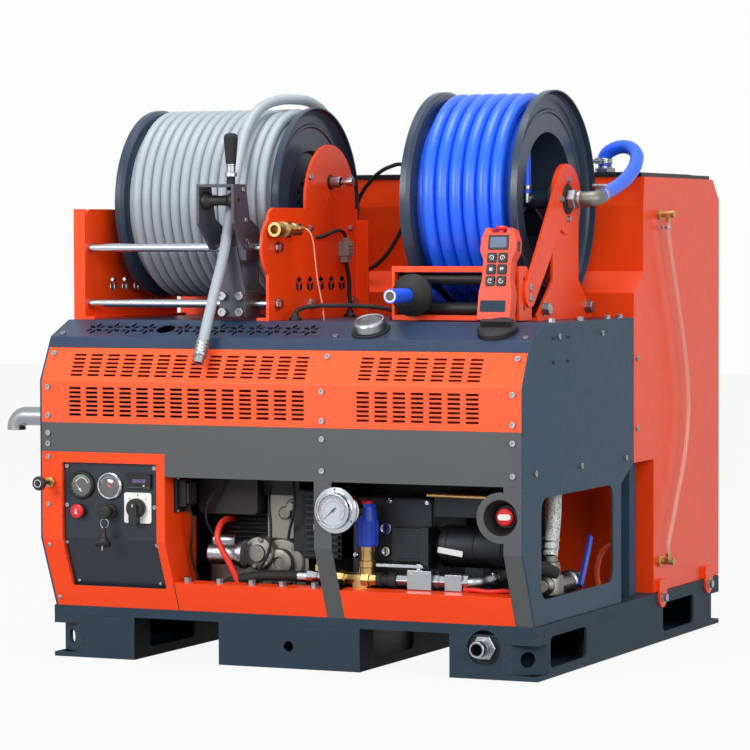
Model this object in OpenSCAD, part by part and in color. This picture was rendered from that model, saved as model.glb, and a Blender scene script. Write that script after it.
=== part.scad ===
// Skid-mounted drain jetter: two hose reels, a water tank, an engine and a pump on one lifting skid.
// Millimetres. X runs across the front, Y runs to the back, Z is up from the floor.
// The origin is on the floor, under the middle of the skid.

/* [Skid] */
// Width of the skid
skid_w = 1110; // [1100:2:1140]
// Depth of the skid
skid_d = 1136; // [1120:2:1160]
// Height of the skid
skid_h = 110; // [104:1:120]
// Clear height of the fork pockets
pocket_h = 90; // [84:1:92]
// Width of a fork pocket
pocket_w = 200; // [160:2:210]
// Distance between the two fork pockets
pocket_pitch = 524; // [500:2:540]
// Plate thickness of the skid
skid_t = 6; // [4:0.5:8]
// Width of a fork hole in the side
side_hole_w = 208; // [180:2:216]
// Radius of a tie-down hole
tie_hole_r = 16; // [10:0.5:20]

/* [Cabinet] */
// Width of the cabinet
cab_w = 1100; // [1090:2:1120]
// How far the front stands over the skid
overhang = 64; // [56:1:72]
// Height of the bend in the front
kink_z = 259; // [250:1:270]
// Height of the lower edge of the grille
grille_z = 504; // [500:1:512]
// Height of the bend in the grille
fold_z = 593; // [588:1:600]
// Height of the flat deck
deck_z = 718; // [712:1:726]
// Thickness of the front sheets
sheet_t = 3; // [2:0.5:4]
// Thickness of the side panels
side_t = 4; // [3:0.5:5]
// Gap at the seams between sheets
seam = 0.3; // [0.2:0.05:0.6]
// Length of a grille slot
slot_w = 28; // [22:1:32]
// Height of a grille slot
slot_h = 5; // [3:0.5:6]
// Distance between grille columns
slot_pitch = 40; // [36:1:42]
// Distance between grille rows
slot_row = 9.3; // [8.5:0.1:9.6]

/* [Tank] */
// Height of the tank
tank_z = 1022; // [1000:2:1040]
// Thickness of the tank wall
tank_t = 4; // [3:0.5:6]
// Thickness of the lid
lid_t = 8; // [5:1:12]
// Diameter of the sight tube
sight_d = 10; // [8:0.5:12]

/* [Jetting reel] */
// Diameter of the reel flanges
main_flange_d = 414; // [406:1:416]
// Distance between the flanges
main_width = 347.5; // [346:0.5:352]
// Outside diameter of the jetting hose
main_hose_d = 22.4; // [20:0.1:22.6]
// Height of the axle over the deck
main_axle_h = 249; // [246:1:256]
// Diameter of the axle
axle_d = 30; // [24:1:36]
// Radial running clearance of shafts and rollers
run_gap = 0.05; // [0.02:0.01:0.09]
// Diameter of the guide rods
rod_d = 18; // [14:1:20]

/* [Supply reel] */
// Diameter of the reel flanges
supply_flange_d = 462; // [450:2:466]
// Distance between the flanges
supply_width = 215; // [214.5:0.5:220]
// Outside diameter of the supply hose
supply_hose_d = 30; // [26:0.5:30]
// Height of the reel flanges over the deck
supply_lift = 22; // [19:1:27]
// Diameter of the fairlead rollers
lead_roller_d = 26; // [20:1:28]

/* [Controls] */
// Diameter of the panel gauges
gauge_d = 60; // [52:1:64]
// Diameter of the pressure gauge
pressure_d = 94; // [80:1:100]
// Diameter of the start button
button_d = 22; // [18:1:26]
// Diameter of the stop button
stop_d = 36; // [32:1:40]
// Width of the remote control
remote_w = 78; // [72:1:84]
// Height of the remote control
remote_h = 190; // [180:1:200]
// Width of a remote key
key_w = 18; // [14:0.5:19]

/* [Hidden] */
$fn = 64;

// Paints and materials
orange = [0.9, 0.27, 0.1];
slate = [0.26, 0.3, 0.35];
grey = [0.42, 0.43, 0.44];
black = [0.08, 0.08, 0.09];
steel = [0.75, 0.76, 0.78];
brass = [0.8, 0.62, 0.28];
hose_grey = [0.76, 0.79, 0.82];
hose_blue = [0.18, 0.42, 0.95];
red = [0.8, 0.08, 0.08];
clear = [0.85, 0.9, 0.92, 0.6];

// Skid
skid_x = skid_w / 2;
skid_y = skid_d / 2;
pocket_in = pocket_pitch / 2 - pocket_w / 2;
pocket_out = pocket_pitch / 2 + pocket_w / 2;
side_hole_y = [-395, 286];
side_hole_z = [20, 84];
tie_cut_x = 60;
tie_cut_front = 45;
tie_cut_back = 52;
tie_cut_z = [10, 72];
tie_plate_t = 8;
inlet_x = 438;
inlet_z = 64;
inlet_hole_d = 72;
inlet_r = 16.6;

// Cabinet profile, seen from the side as [y, z]
cab_x = cab_w / 2;
in_x = cab_x - side_t - seam;
front_y = -skid_y - overhang;
lip_low = [front_y + 35, fold_z + 68];
lip_high = [front_y + 47, fold_z + 91];
deck_front = [front_y + 125, deck_z];
deck_back_y = 5;
slope_a = atan2(deck_front.y - lip_high.y, deck_front.x - lip_high.x);
slope_len = norm(deck_front - lip_high);
fold_a = atan2(lip_low.x - front_y, lip_low.y - fold_z);
base_z = skid_h + seam;
side_back_y = -72;
band_z = 395;
band_left_z = 443;
sill_z = 170;
post_x = [90, 129];
corner_x = 507;
stop_at = [500, 333];
stop_hole_d = stop_d + 37;
stop_boss_d = stop_hole_d + 29;
surround_x = [-in_x, -254];
panel_x = [-500, -272];
panel_z = [156, 422];
panel_depth = 10;
panel_y = front_y + panel_depth;

// Tank profile
tank_front_y = 135;
tank_step_z = 405;
tank_nose_y = 9;
tank_ledge_z = 771;
tank_wall_y = 68;
tank_back_y = 582;
sight_y = 165;
sight_z = [178, 941];
lug_y = [171, 485];

// Jetting reel
main_y = -200;
main_z = deck_z + main_axle_h;
main_left_x = -469;
main_right_x = main_left_x + main_width;
main_gap = 0.5;
main_pitch = main_hose_d + main_gap;
main_rc = main_flange_d / 2 - 2 - main_hose_d / 2;
main_barrel_r = 0.29 * main_flange_d;
main_turns = floor(main_width / main_pitch) - 1;
main_rim = 22;
plate_t = 6;
main_shoulder_z = 955;
main_corner_r = 30;
main_bolt = [102, 55];
supply_bolt_r = 41;
main_plate_l = main_left_x - 58;
main_plate_r = main_right_x + 43.5;
main_side_x = main_plate_r + plate_t;
bearing_w = 22;
bearing_d = 70;
rod_y = -467;
rod_z = [deck_z + 35, deck_z + 154];
lock_r = 45;
lock_d = 10;
lock_stroke = 38;
tail_lift = 5;
main_tail_r = main_flange_d / 2 + tail_lift + main_hose_d / 2;

// Carriage
car_x = main_plate_r - 81;
car_w = 60;
cheek_x = [main_plate_r - 137, main_plate_r - 50];
cheek_t = 6;
car_y = [-497, -437];
roll_y = -532;
roll_z = deck_z + 252;
roll_d = 38;
pin_d = 10;
grip_x = main_plate_r - 72;
grip_y = -524;
grip_z = deck_z + 286;

// Supply reel
supply_y = -175;
supply_z = deck_z + supply_lift + supply_flange_d / 2;
supply_front = supply_y - supply_flange_d / 2;
supply_left_x = 206;
supply_right_x = supply_left_x + supply_width;
supply_gap = 0.6;
supply_pitch = supply_hose_d + supply_gap;
supply_rc = supply_flange_d / 2 - 5 - supply_hose_d / 2;
supply_barrel_r = 0.316 * supply_flange_d;
supply_turns = floor(supply_width / supply_pitch) - 1;
supply_axle_d = 40;
supply_plate_l = supply_left_x - 48;
supply_plate_r = supply_right_x + 37;
elbow_x = supply_plate_r + plate_t + 66;
lead_x = [supply_plate_l + 22, supply_plate_r + plate_t];
lead_y = [supply_front - 34, supply_front + 22];
lead_z = [deck_z + 3, deck_z + 114];
lead_roller_y = supply_front - 6;
lead_roller_z = [deck_z + 26.8, deck_z + 88];
arm_x = supply_plate_r + plate_t + seam;
arm_end = [supply_front + 18, deck_z + 59];
supply_tail_r = supply_rc + supply_hose_d + 7;
hose_stop_y = supply_front - 64;

// Remote control, leaning back on the fairlead
remote_x = lead_x[1] - 36;
remote_lean = 11;
remote_t = 30;
remote_screen = [45, 31];
remote_y = lead_y[0] - 0.6 - (lead_z[1] - deck_z) * tan(remote_lean);
key_gap = 24;
key_low = 80;

// Panel items as [x, z]
gauge_at = [[-454, 373], [-387, 373]];
meter_at = [-318, 385];
start_at = [-461, 318];
key_at = [-388, 319];
selector_at = [-321, 328];
choke_at = [-524, 378];
pressure_at = [139, 338];

// Engine bay
engine_y = -450;
unloader_at = [170, -545];
valve_at = [285, -545, 194];
suction_at = [505, -370];
suction_valve_at = [470, -271, 160];
exhaust_at = [-650, -560, 512];

// Routes of the hoses and cables that hang free or bridge two places
main_drop = [
    [-72, main_y, main_z + main_tail_r + 1.8], [-100, -258, main_z + main_tail_r - 3.2], [-114, -318, 1162],
    [-115, -370, 1118], [-108, -414, 1064], [-99, -452, 1014], [-92, -480, 966], [-90, -502, 915],
    [-89, -530, 850], [-89, -566, 785], [-89, -598, 725], [-89, -622, 678]
];
main_route = [for (p = main_drop) p + [main_plate_r, 0, 0]];
supply_route = [
    [226, -332, 766], [232, -372, 771.4], [237, -415, 772.6], [238, -440, 772.6], [238, -480, 772.6],
    [238, -530, 772.6], [238, -580, 772.6]
];
feed_route = [
    [elbow_x, -149.5, 976.5], [elbow_x, -102.5, 986.5], [elbow_x + 3, -40, 1002],
    [elbow_x + 5, 20, 1024], [elbow_x + 2, 70, 1050], [elbow_x - 12, 108, 1074],
    [490, 128, 1088], [458, 132, 1084], [438, 132, 1068], [438, 132, 1046.3]
];
sight_route = [
    [573, 165, 925.7], [573, 165, 912], [573, 172, 880], [573, 197, 820], [573, 232, 740],
    [573, 262, 670], [573, 286, 600], [573, 298, 540], [573, 298, 490], [573, 284, 430],
    [573, 256, 370], [573, 220, 310], [573, 186, 250], [573, 168, 224], [573, 165, 207], [573, 165, 193.3]
];
suction_route = [
    [505, 8, 478], [505, -30, 478], [505, -90, 486], [505, -150, 500], [505, -210, 506], [505, -268, 494],
    [505, -312, 462], [505, -338, 415], [505, -346, 365], [505, -350, 318], [505, -360, 275], [505, -370, 236]
];
plug_route = [
    [main_side_x + 10, -146, 846], [main_side_x + 10, -138, 826], [main_side_x + 10, -128, 800],
    [main_side_x + 10, -126, 770], [main_side_x + 12, -127, 745], [main_side_x + 12, -127, 732],
    [main_side_x + 12, -127, 718.3]
];
deck_route = [
    [main_side_x + 32, -446, 718.3], [main_side_x + 32, -446, 732], [main_side_x + 42, -442, 742],
    [main_side_x + 66, -426, 748], [30, -408, 749], [80, -384, 748], [118, -362, 744], [140, -350, 738],
    [148, -347, 730], [148, -347, 718.3]
];
loop_route = [
    [40, 67.7, 905], [40, 44, 908], [38, 20, 930], [44, 4, 970], [62, -8, 1004], [88, -12, 1018],
    [112, -4, 1004], [124, 14, 968], [126, 40, 944], [126, 67.7, 940]
];

// Helpers

function unit(v) = v / norm(v);

// Front face of the cabinet at height z
function face_y(z) = z < kink_z ? -skid_y - overhang * (z - skid_h) / (kink_z - skid_h) : front_y;

// Normal on the inside of a profile drawn from the floor up and to the back
function inward(a, b) = let (d = unit(b - a)) [d.y, -d.x];

// A profile's point moved in by t, with a mitre at the bends
function miter(pts, i, t) =
    let (
        a = min(max(i - 1, 0), len(pts) - 2),
        b = min(i, len(pts) - 2),
        n1 = inward(pts[a], pts[a + 1]),
        n2 = inward(pts[b], pts[b + 1])
    )
    pts[i] + t * (n1 + n2) / (1 + n1 * n2);

// Outline of a bent sheet between two depths behind a profile
function sheet(pts, t0, t1) = concat(
    [for (i = [0 : len(pts) - 1]) miter(pts, i, t0)],
    [for (i = [len(pts) - 1 : -1 : 0]) miter(pts, i, t1)]
);

// Place on a wrap round an axle, a degrees from the top towards the front
function wrap(y, z, r, a, x) = [x, y - r * sin(a), z + r * cos(a)];

// Directions, sideways vectors and rings of a tube along a path
function heading(p, i) = unit(p[min(i + 1, len(p) - 1)] - p[max(i - 1, 0)]);
function across(v) = abs(v.z) < 0.9 ? unit(cross(v, [0, 0, 1])) : unit(cross(v, [0, 1, 0]));
function sides_of(p) = [
    for (
        i = 0, s = across(heading(p, 0));
        i < len(p);
        i = i + 1,
        t = heading(p, min(i, len(p) - 1)),
        s = unit(s - t * (s * t))
    ) s
];
function ring(c, t, s, r, n) = let (u = cross(t, s)) [for (k = [0 : n - 1])
    c + r * (cos(360 * k / n) * s + sin(360 * k / n) * u)];

// Least distance between turns that are at least skip points apart
function self_gap(p, d, skip) = min([
    for (i = [0 : len(p) - 1])
        for (j = [i + skip : 1 : len(p) - 1])
            norm(p[i] - p[j])
]) - d;

module tube(path, d, n = 10) {
    s = sides_of(path);
    m = len(path);
    points = [for (i = [0 : m - 1]) each ring(path[i], heading(path, i), s[i], d / 2, n)];
    walls = [
        for (i = [0 : m - 2])
            for (k = [0 : n - 1])
                each [
                    [i * n + k, (i + 1) * n + k, (i + 1) * n + (k + 1) % n],
                    [i * n + k, (i + 1) * n + (k + 1) % n, i * n + (k + 1) % n]
                ]
    ];
    first = [for (k = [0 : n - 1]) k];
    last = [for (k = [n - 1 : -1 : 0]) (m - 1) * n + k];
    polyhedron(points, concat(walls, [first], [last]));
}

module along_x(x0, x1) {
    translate([x0, 0, 0])
        rotate([90, 0, 90])
            linear_extrude(x1 - x0)
                children();
}

module along_y(y0, y1) {
    translate([0, y1, 0])
        rotate([90, 0, 0])
            linear_extrude(y1 - y0)
                children();
}

module box(a, b) {
    translate(a)
        cube(b - a);
}

module rod_x(d, x0, x1, y, z) {
    translate([x0, y, z])
        rotate([0, 90, 0])
            cylinder(d = d, h = x1 - x0);
}

module rod_y(d, y0, y1, x, z) {
    translate([x, y1, z])
        rotate([90, 0, 0])
            cylinder(d = d, h = y1 - y0);
}

module rod_z(d, z0, z1, x, y) {
    translate([x, y, z0])
        cylinder(d = d, h = z1 - z0);
}

// Turned piece round an axle along X, from a profile of [radius, x]
module turned_x(profile, y, z) {
    translate([0, y, z])
        rotate([0, 90, 0])
            rotate_extrude($fn = 96)
                polygon(profile);
}

module round_rect(a, b, r) {
    translate([a.x + r, a.y])
        square([b.x - a.x - 2 * r, b.y - a.y]);
    translate([a.x, a.y + r])
        square([b.x - a.x, b.y - a.y - 2 * r]);
    for (x = [a.x + r, b.x - r], y = [a.y + r, b.y - r])
        translate([x, y])
            circle(r);
}

// Place on the sloping front of the deck, s along the slope from the lip, Z square to it
module on_slope(x, s) {
    translate([x, lip_high.x + s * cos(slope_a), lip_high.y + s * sin(slope_a)])
        rotate([slope_a, 0, 0])
            children();
}

module rhombus(w, h) {
    polygon([[-w / 2, 0], [0, -h / 2], [w / 2, 0], [0, h / 2]]);
}

// Button-head screw, Z out of the sheet
module screw(d = 12, h = 4) {
    difference() {
        cylinder(d = d, h = h, $fn = 24);
        translate([0, 0, h - 2])
            cylinder(d = d * 0.5, h = 3, $fn = 6);
    }
}

module hex_bolt(d = 16, h = 7) {
    cylinder(d = d * 1.25, h = 1.5, $fn = 24);
    translate([0, 0, 1.5])
        cylinder(d = d, h = h - 1.5, $fn = 6);
}

// Turn Z towards the front, the right or the left
module to_front(p) {
    translate(p)
        rotate([90, 0, 0])
            children();
}

module to_right(p) {
    translate(p)
        rotate([0, 90, 0])
            children();
}

// Skid

module skid_deck() {
    color(slate) {
        box([-skid_x, -skid_y, skid_h - skid_t], [skid_x, skid_y, skid_h]);
        difference() {
            box([-skid_x, -skid_y, pocket_h], [skid_x, skid_y, skid_h - skid_t]);
            box(
                [-skid_x + skid_t, -skid_y + skid_t, pocket_h - 1],
                [skid_x - skid_t, skid_y - skid_t, skid_h]
            );
            rod_y(inlet_hole_d, -skid_y - 1, -skid_y + skid_t + 1, inlet_x, inlet_z);
        }
    }
}

// Corner cut of a runner, grown inwards by the depth of its tie-down plate
module tie_cut(grow, z0, z1, back) {
    cut_y = back ? tie_cut_back : tie_cut_front;
    g = grow / cos(atan2(cut_y, tie_cut_x));
    s = back ? 1 : -1;
    translate([0, 0, z0])
        linear_extrude(z1 - z0)
            polygon([
                [skid_x - tie_cut_x - g * tie_cut_x / cut_y, s * skid_y],
                [skid_x, s * skid_y],
                [skid_x, s * (skid_y - cut_y - g)]
            ]);
}

module tie_plate(back) {
    cut_y = back ? tie_cut_back : tie_cut_front;
    s = back ? 1 : -1;
    lean = atan2(cut_y, tie_cut_x);
    middle = [skid_x - tie_cut_x / 2, s * (skid_y - cut_y / 2), (tie_cut_z[0] + tie_cut_z[1]) / 2];
    difference() {
        intersection() {
            tie_cut(tie_plate_t, tie_cut_z[0] + seam, tie_cut_z[1] - seam, back);
            box([pocket_out, -skid_y + 1, 0], [skid_x - 1, skid_y - 1, skid_h]);
        }
        tie_cut(0, 0, skid_h, back);
        translate(middle)
            rotate([0, 0, -s * lean])
                rotate([90, 0, 0])
                    cylinder(r = tie_hole_r, h = 60, center = true);
    }
}

module runner(x0, x1) {
    top = pocket_h - seam;
    difference() {
        box([x0, -skid_y, 0], [x1, skid_y, top]);
        box([x0 + skid_t, -skid_y + skid_t, skid_t], [x1 - skid_t, skid_y - skid_t, top - skid_t]);
        for (y = side_hole_y)
            along_x(x0 - 1, x1 + 1)
                round_rect([y - side_hole_w / 2, side_hole_z[0]], [y + side_hole_w / 2, side_hole_z[1]], 14);
        rod_y(22, -skid_y - 1, -skid_y + skid_t + 1, 0, 46);
        rod_y(inlet_hole_d, -skid_y - 1, -skid_y + skid_t + 1, inlet_x, inlet_z);
        for (back = [false, true], side = [0, 1])
            mirror([side, 0, 0])
                tie_cut(tie_plate_t + seam, tie_cut_z[0], tie_cut_z[1], back);
    }
}

module skid_runners() {
    color(slate) {
        runner(-pocket_in, pocket_in);
        runner(pocket_out, skid_x);
        runner(-skid_x, -pocket_out);
        for (back = [false, true], side = [0, 1])
            mirror([side, 0, 0])
                tie_plate(back);
    }
}

// Cabinet

function front_profile() = [
    [face_y(base_z), base_z], [front_y, kink_z], [front_y, fold_z], lip_low, lip_high, deck_front
];

module side_panels() {
    low_z = tank_step_z - seam;
    low_y = tank_front_y - seam;
    color(slate) {
        along_x(cab_x - side_t, cab_x)
            difference() {
                polygon(concat(front_profile(), [
                    [deck_back_y, deck_z], [deck_back_y, low_z], [side_back_y, low_z - 40],
                    [side_back_y, base_z]
                ]));
                round_rect([-536, 160], [-120, 367], 30);
            }
        along_x(-cab_x, -cab_x + side_t)
            difference() {
                polygon(concat(front_profile(), [
                    [deck_back_y, deck_z], [deck_back_y, low_z], [low_y, low_z], [low_y, base_z]
                ]));
                translate([exhaust_at.y, exhaust_at.z])
                    circle(d = 40.4);
            }
        for (x = [-in_x + 20, in_x - 60])
            box([x, 48, base_z], [x + 40, 88, low_z]);
    }
}

// Six slim rhombi round one point
module star(r) {
    for (a = [30 : 60 : 330])
        rotate(a)
            translate([r / 2 + 1, 0])
                rhombus(r - 2, r * 0.46);
}

// Three rhombi that make the picture of a cube
module cube_sign(r) {
    for (a = [90, 210, 330])
        rotate(a)
            translate([r / 2, 0])
                rhombus(r * 0.74, r * 1.28);
}

module deck_cover() {
    profile = [lip_low + [0.4, 0.8], lip_high, deck_front, [deck_back_y - seam, deck_z]];
    color(slate)
        difference() {
            along_x(-in_x, in_x)
                polygon(sheet(profile, 0, sheet_t));
            for (k = [0 : 12])
                if (k != 4)
                    on_slope(-294 + (k - 4) * star_pitch, slope_len / 2)
                        translate([0, 0, -sheet_t - 2])
                            linear_extrude(sheet_t + 4)
                                scale([1, 1.25])
                                    star(star_pitch * 0.57);
            on_slope(-294, slope_len / 2)
                cylinder(d = 41, h = 20, center = true);
            on_slope(180, slope_len / 2)
                cylinder(d = 46, h = 20, center = true);
            on_slope(461, slope_len / 2)
                cylinder(d = 66, h = 20, center = true);
        }
}

star_pitch = 42;

// One field of grille slots, as [first column, number of columns]
grille_fields = [[-466, 14], [200, 7]];

module grille_panel() {
    profile = [[front_y, grille_z + seam], [front_y, fold_z], lip_low];
    color(orange)
        difference() {
            along_x(-in_x, in_x)
                polygon(sheet(profile, 0, sheet_t));
            for (f = grille_fields, c = [0 : f[1] - 1]) {
                x = f[0] + c * slot_pitch;
                for (r = [0 : 6])
                    translate([x - slot_w / 2, front_y - 2, grille_z + 15 + r * slot_row])
                        cube([slot_w, sheet_t + 4, slot_h]);
                translate([x, front_y, fold_z])
                    rotate([-fold_a, 0, 0])
                        for (r = [0 : 5])
                            translate([-slot_w / 2, -2, 11 + r * slot_row])
                                cube([slot_w, sheet_t + 4, slot_h]);
            }
        }
}

module front_frame() {
    post = [[face_y(base_z), base_z], [front_y, kink_z], [front_y, band_z - seam]];
    color(grey) {
        along_y(front_y, front_y + sheet_t)
            polygon([
                [-in_x, grille_z], [in_x, grille_z], [in_x, band_z], [surround_x[1] + seam, band_z],
                [surround_x[1] + seam, band_left_z], [-in_x, band_left_z]
            ]);
        along_x(post_x[0], post_x[1])
            polygon(sheet(post, 0, sheet_t));
        difference() {
            union() {
                along_x(corner_x, in_x)
                    polygon(sheet(post, 0, sheet_t));
                along_y(front_y, front_y + sheet_t)
                    intersection() {
                        translate(stop_at)
                            circle(d = stop_boss_d);
                        translate([0, stop_at.y - stop_boss_d])
                            square([in_x, 2 * stop_boss_d]);
                    }
            }
            rod_y(stop_hole_d, front_y - 1, front_y + sheet_t + 1, stop_at.x, stop_at.y);
        }
    }
}

module lower_front_panels() {
    surround = [[face_y(base_z), base_z], [front_y, kink_z], [front_y, band_left_z - seam]];
    sill = [[face_y(base_z), base_z], [face_y(sill_z), sill_z], [face_y(sill_z) + 34, sill_z + 4]];
    color(orange) {
        difference() {
            along_x(surround_x[0], surround_x[1])
                polygon(sheet(surround, 0, sheet_t));
            along_y(front_y - 20, 0)
                round_rect([panel_x[0], panel_z[0]], [panel_x[1], panel_z[1]], 8);
            rod_y(8.6, front_y - 1, front_y + sheet_t + 1, choke_at.x, choke_at.y);
        }
        along_x(surround_x[1] + seam, post_x[0] - seam)
            polygon(sheet(sill, 0, sheet_t));
        along_x(post_x[1] + seam, corner_x - seam)
            polygon(sheet(sill, 0, sheet_t));
        along_x(surround_x[1] - sheet_t, surround_x[1])
            polygon([
                [face_y(base_z) + 5, base_z + 1], [front_y + sheet_t + 1, kink_z + 1],
                [front_y + sheet_t + 1, band_left_z - 1], [-515, band_left_z - 1], [-515, 303], [-490, 303],
                [-490, base_z + 1]
            ]);
    }
}

// Shallow tray behind the surround; its floor carries the instruments
module control_panel() {
    tray = [[face_y(panel_z[0] - 12), panel_z[0] - 12], [front_y, kink_z], [front_y, panel_z[1] + 10]];
    color(grey)
        difference() {
            along_x(panel_x[0] - 9, panel_x[1] + 9)
                polygon(sheet(tray, sheet_t + seam, panel_depth + 2));
            difference() {
                along_y(front_y - 30, 0)
                    round_rect(panel_x[0] * [1, 0] + panel_z[0] * [0, 1] - [3, 3],
                               panel_x[1] * [1, 0] + panel_z[1] * [0, 1] + [3, 3], 8);
                along_x(panel_x[0] - 9, panel_x[1] + 9)
                    polygon(sheet(tray, panel_depth, panel_depth + 60));
            }
            for (p = gauge_at)
                rod_y(gauge_d - 7, panel_y - 1, panel_y + 3, p.x, p.y);
            rod_y(button_d + 4, panel_y - 1, panel_y + 3, start_at.x, start_at.y);
            rod_y(20, panel_y - 1, panel_y + 3, key_at.x, key_at.y);
            rod_y(13, panel_y - 1, panel_y + 3, selector_at.x, selector_at.y);
        }
}

// Controls

module dial_gauge(p, d) {
    translate([p.x, panel_y, p.y])
        rotate([90, 0, 0]) {
            rotate_extrude()
                polygon([
                    [0, 0], [d / 2, 0], [d / 2, 6], [d / 2 - 3, 9], [d / 2 - 6, 9], [d / 2 - 7, 5], [0, 5]
                ]);
            translate([0, 0, 5])
                cylinder(d = 9, h = 3);
        }
    rod_y(d - 9, panel_y, panel_y + 45, p.x, p.y);
}

module panel_instruments() {
    color(black) {
        for (p = gauge_at)
            dial_gauge(p, gauge_d);
        difference() {
            box([meter_at.x - 29, panel_y - 7, meter_at.y - 16], [meter_at.x + 29, panel_y, meter_at.y + 15]);
            box(
                [meter_at.x - 22, panel_y - 8, meter_at.y - 9],
                [meter_at.x + 22, panel_y - 5, meter_at.y + 8]
            );
        }
        to_front([start_at.x, panel_y + 30, start_at.y])
            difference() {
                union() {
                    cylinder(d = button_d + 3.6, h = 30);
                    translate([0, 0, 30])
                        cylinder(d = button_d + 8, h = 6);
                }
                translate([0, 0, 20])
                    cylinder(d = button_d - 1, h = 17);
            }
        to_front([key_at.x, panel_y, key_at.y])
            difference() {
                cylinder(d = 30, h = 7);
                translate([0, 0, 2])
                    cylinder(d = 12, h = 6);
            }
        rod_y(19, panel_y, panel_y + 30, key_at.x, key_at.y);
        difference() {
            box(
                [selector_at.x - 32, panel_y - 4, selector_at.y - 32],
                [selector_at.x + 32, panel_y, selector_at.y + 32]
            );
            rod_y(13, panel_y - 5, panel_y + 1, selector_at.x, selector_at.y);
        }
        to_front([stop_at.x, front_y, stop_at.y])
            rotate_extrude()
                polygon([
                    [11.1, -42], [stop_d / 2 + 7, -42], [stop_hole_d / 2 + 3, -sheet_t - 3],
                    [stop_hole_d / 2 + 8, -sheet_t - 3], [stop_hole_d / 2 + 8, -sheet_t],
                    [stop_hole_d / 2, -sheet_t], [stop_d / 2 + 4, -38], [11.1, -38]
                ]);
        to_front([choke_at.x, front_y, choke_at.y])
            difference() {
                cylinder(d = 22, h = 9, $fn = 6);
                translate([0, 0, -1])
                    cylinder(d = 8.1, h = 11);
            }
    }
}

// Key with its ring and fob
module ignition_key() {
    color(steel)
        translate([key_at.x, panel_y - 7, key_at.y])
            rotate([90, 0, 0]) {
                translate([-5, -1.2, -4])
                    cube([10, 2.4, 14]);
                difference() {
                    union() {
                        translate([-11, -1.8, 10])
                            cube([22, 3.6, 18]);
                        translate([0, -7, 17])
                            cylinder(d = 12, h = 4);
                    }
                    translate([0, -7, 16])
                        cylinder(d = 7, h = 6);
                }
                translate([0, -16, 19])
                    rotate_extrude()
                        translate([9, 0])
                            circle(1, $fn = 16);
                translate([-12, -64, 16])
                    cube([24, 39, 6]);
            }
}

module selector_knob() {
    color(black)
        to_front([selector_at.x, panel_y - 4, selector_at.y]) {
            translate([0, 0, -8])
                cylinder(d = 12.9, h = 8.4);
            translate([0, 0, 0.4])
                cylinder(d = 36, h = 10);
            translate([-6, -20, 0.4])
                cube([12, 40, 24]);
        }
}

module start_button() {
    color(red)
        to_front([start_at.x, panel_y, start_at.y])
            translate([0, 0, -6])
                cylinder(d = button_d - 1.6, h = 16);
}

module stop_button() {
    color(red)
        to_front([stop_at.x, front_y, stop_at.y])
            rotate_extrude()
                polygon([
                    [0, -60], [11, -60], [11, -31], [stop_d / 2 - 2, -30], [stop_d / 2, -28],
                    [stop_d / 2, -24], [stop_d / 2 - 3, -22], [0, -21]
                ]);
}

module choke_knob() {
    color(black)
        to_front([choke_at.x, front_y, choke_at.y]) {
            translate([0, 0, -40])
                cylinder(d = 8, h = 74);
            rotate_extrude()
                polygon([[0, 30], [7, 30], [9, 40], [13, 44], [15, 48], [15, 54], [12, 58], [0, 58]]);
        }
}

module pressure_gauge() {
    r = pressure_d / 2;
    color(steel) {
        to_front([pressure_at.x, front_y, pressure_at.y]) {
            rotate_extrude()
                polygon([
                    [0, 0], [r, 0], [r, 4], [r - 8, 5], [r - 9, 16], [r - 12, 19], [r - 15, 19],
                    [r - 16, 13], [0, 13]
                ]);
            translate([0, 0, 13])
                cylinder(d = 9, h = 3);
        }
        rod_y(60, front_y, front_y + 24, pressure_at.x + 22, pressure_at.y);
    }
}

// Tank

function tank_outline(t, top) = [
    [tank_front_y + t, base_z + t], [tank_front_y + t, tank_step_z + t], [tank_nose_y + t, tank_step_z + t],
    [tank_nose_y + t, tank_ledge_z - t * 0.4], [tank_wall_y + t, tank_ledge_z + 46 - t * 0.4],
    [tank_wall_y + t, tank_z - 62], [tank_wall_y + 9 + t, tank_z], [tank_wall_y + 9 + t, top],
    [tank_back_y - 45 - t, top], [tank_back_y - 45 - t, tank_z], [tank_back_y - t, tank_z - 46],
    [tank_back_y - t, base_z + t]
];

module tank_lug(y) {
    box([cab_x - tank_t, y - 24, skid_h + 2], [skid_x + seam, y + 24, skid_h + 28]);
    difference() {
        along_x(skid_x + seam, skid_x + seam + 5)
            union() {
                translate([y - 24, skid_h - 10])
                    square([48, 38]);
                translate([y, skid_h - 10])
                    circle(24);
            }
        rod_x(11, skid_x, skid_x + 10, y, skid_h - 12);
    }
}

module water_tank() {
    color(orange) {
        difference() {
            along_x(-cab_x, cab_x)
                polygon(tank_outline(0, tank_z));
            along_x(-cab_x + tank_t, cab_x - tank_t)
                polygon(tank_outline(tank_t, tank_z + 5));
            for (z = sight_z)
                rod_x(14, cab_x - tank_t - 1, cab_x + 1, sight_y, z);
        }
        for (y = lug_y) {
            tank_lug(y);
            mirror([1, 0, 0])
                tank_lug(y);
        }
    }
}

module tank_lid() {
    top = tank_z + seam;
    color(black)
        difference() {
            union() {
                box([-cab_x + 6, tank_wall_y + 6, top], [cab_x - 6, tank_back_y - 52, top + lid_t]);
                box(
                    [-cab_x + 40, tank_wall_y + 40, top + lid_t],
                    [cab_x - 40, tank_back_y - 80, top + lid_t + 3]
                );
            }
            rod_z(28, tank_z - 5, tank_z + 30, 438, 132);
        }
}

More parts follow.
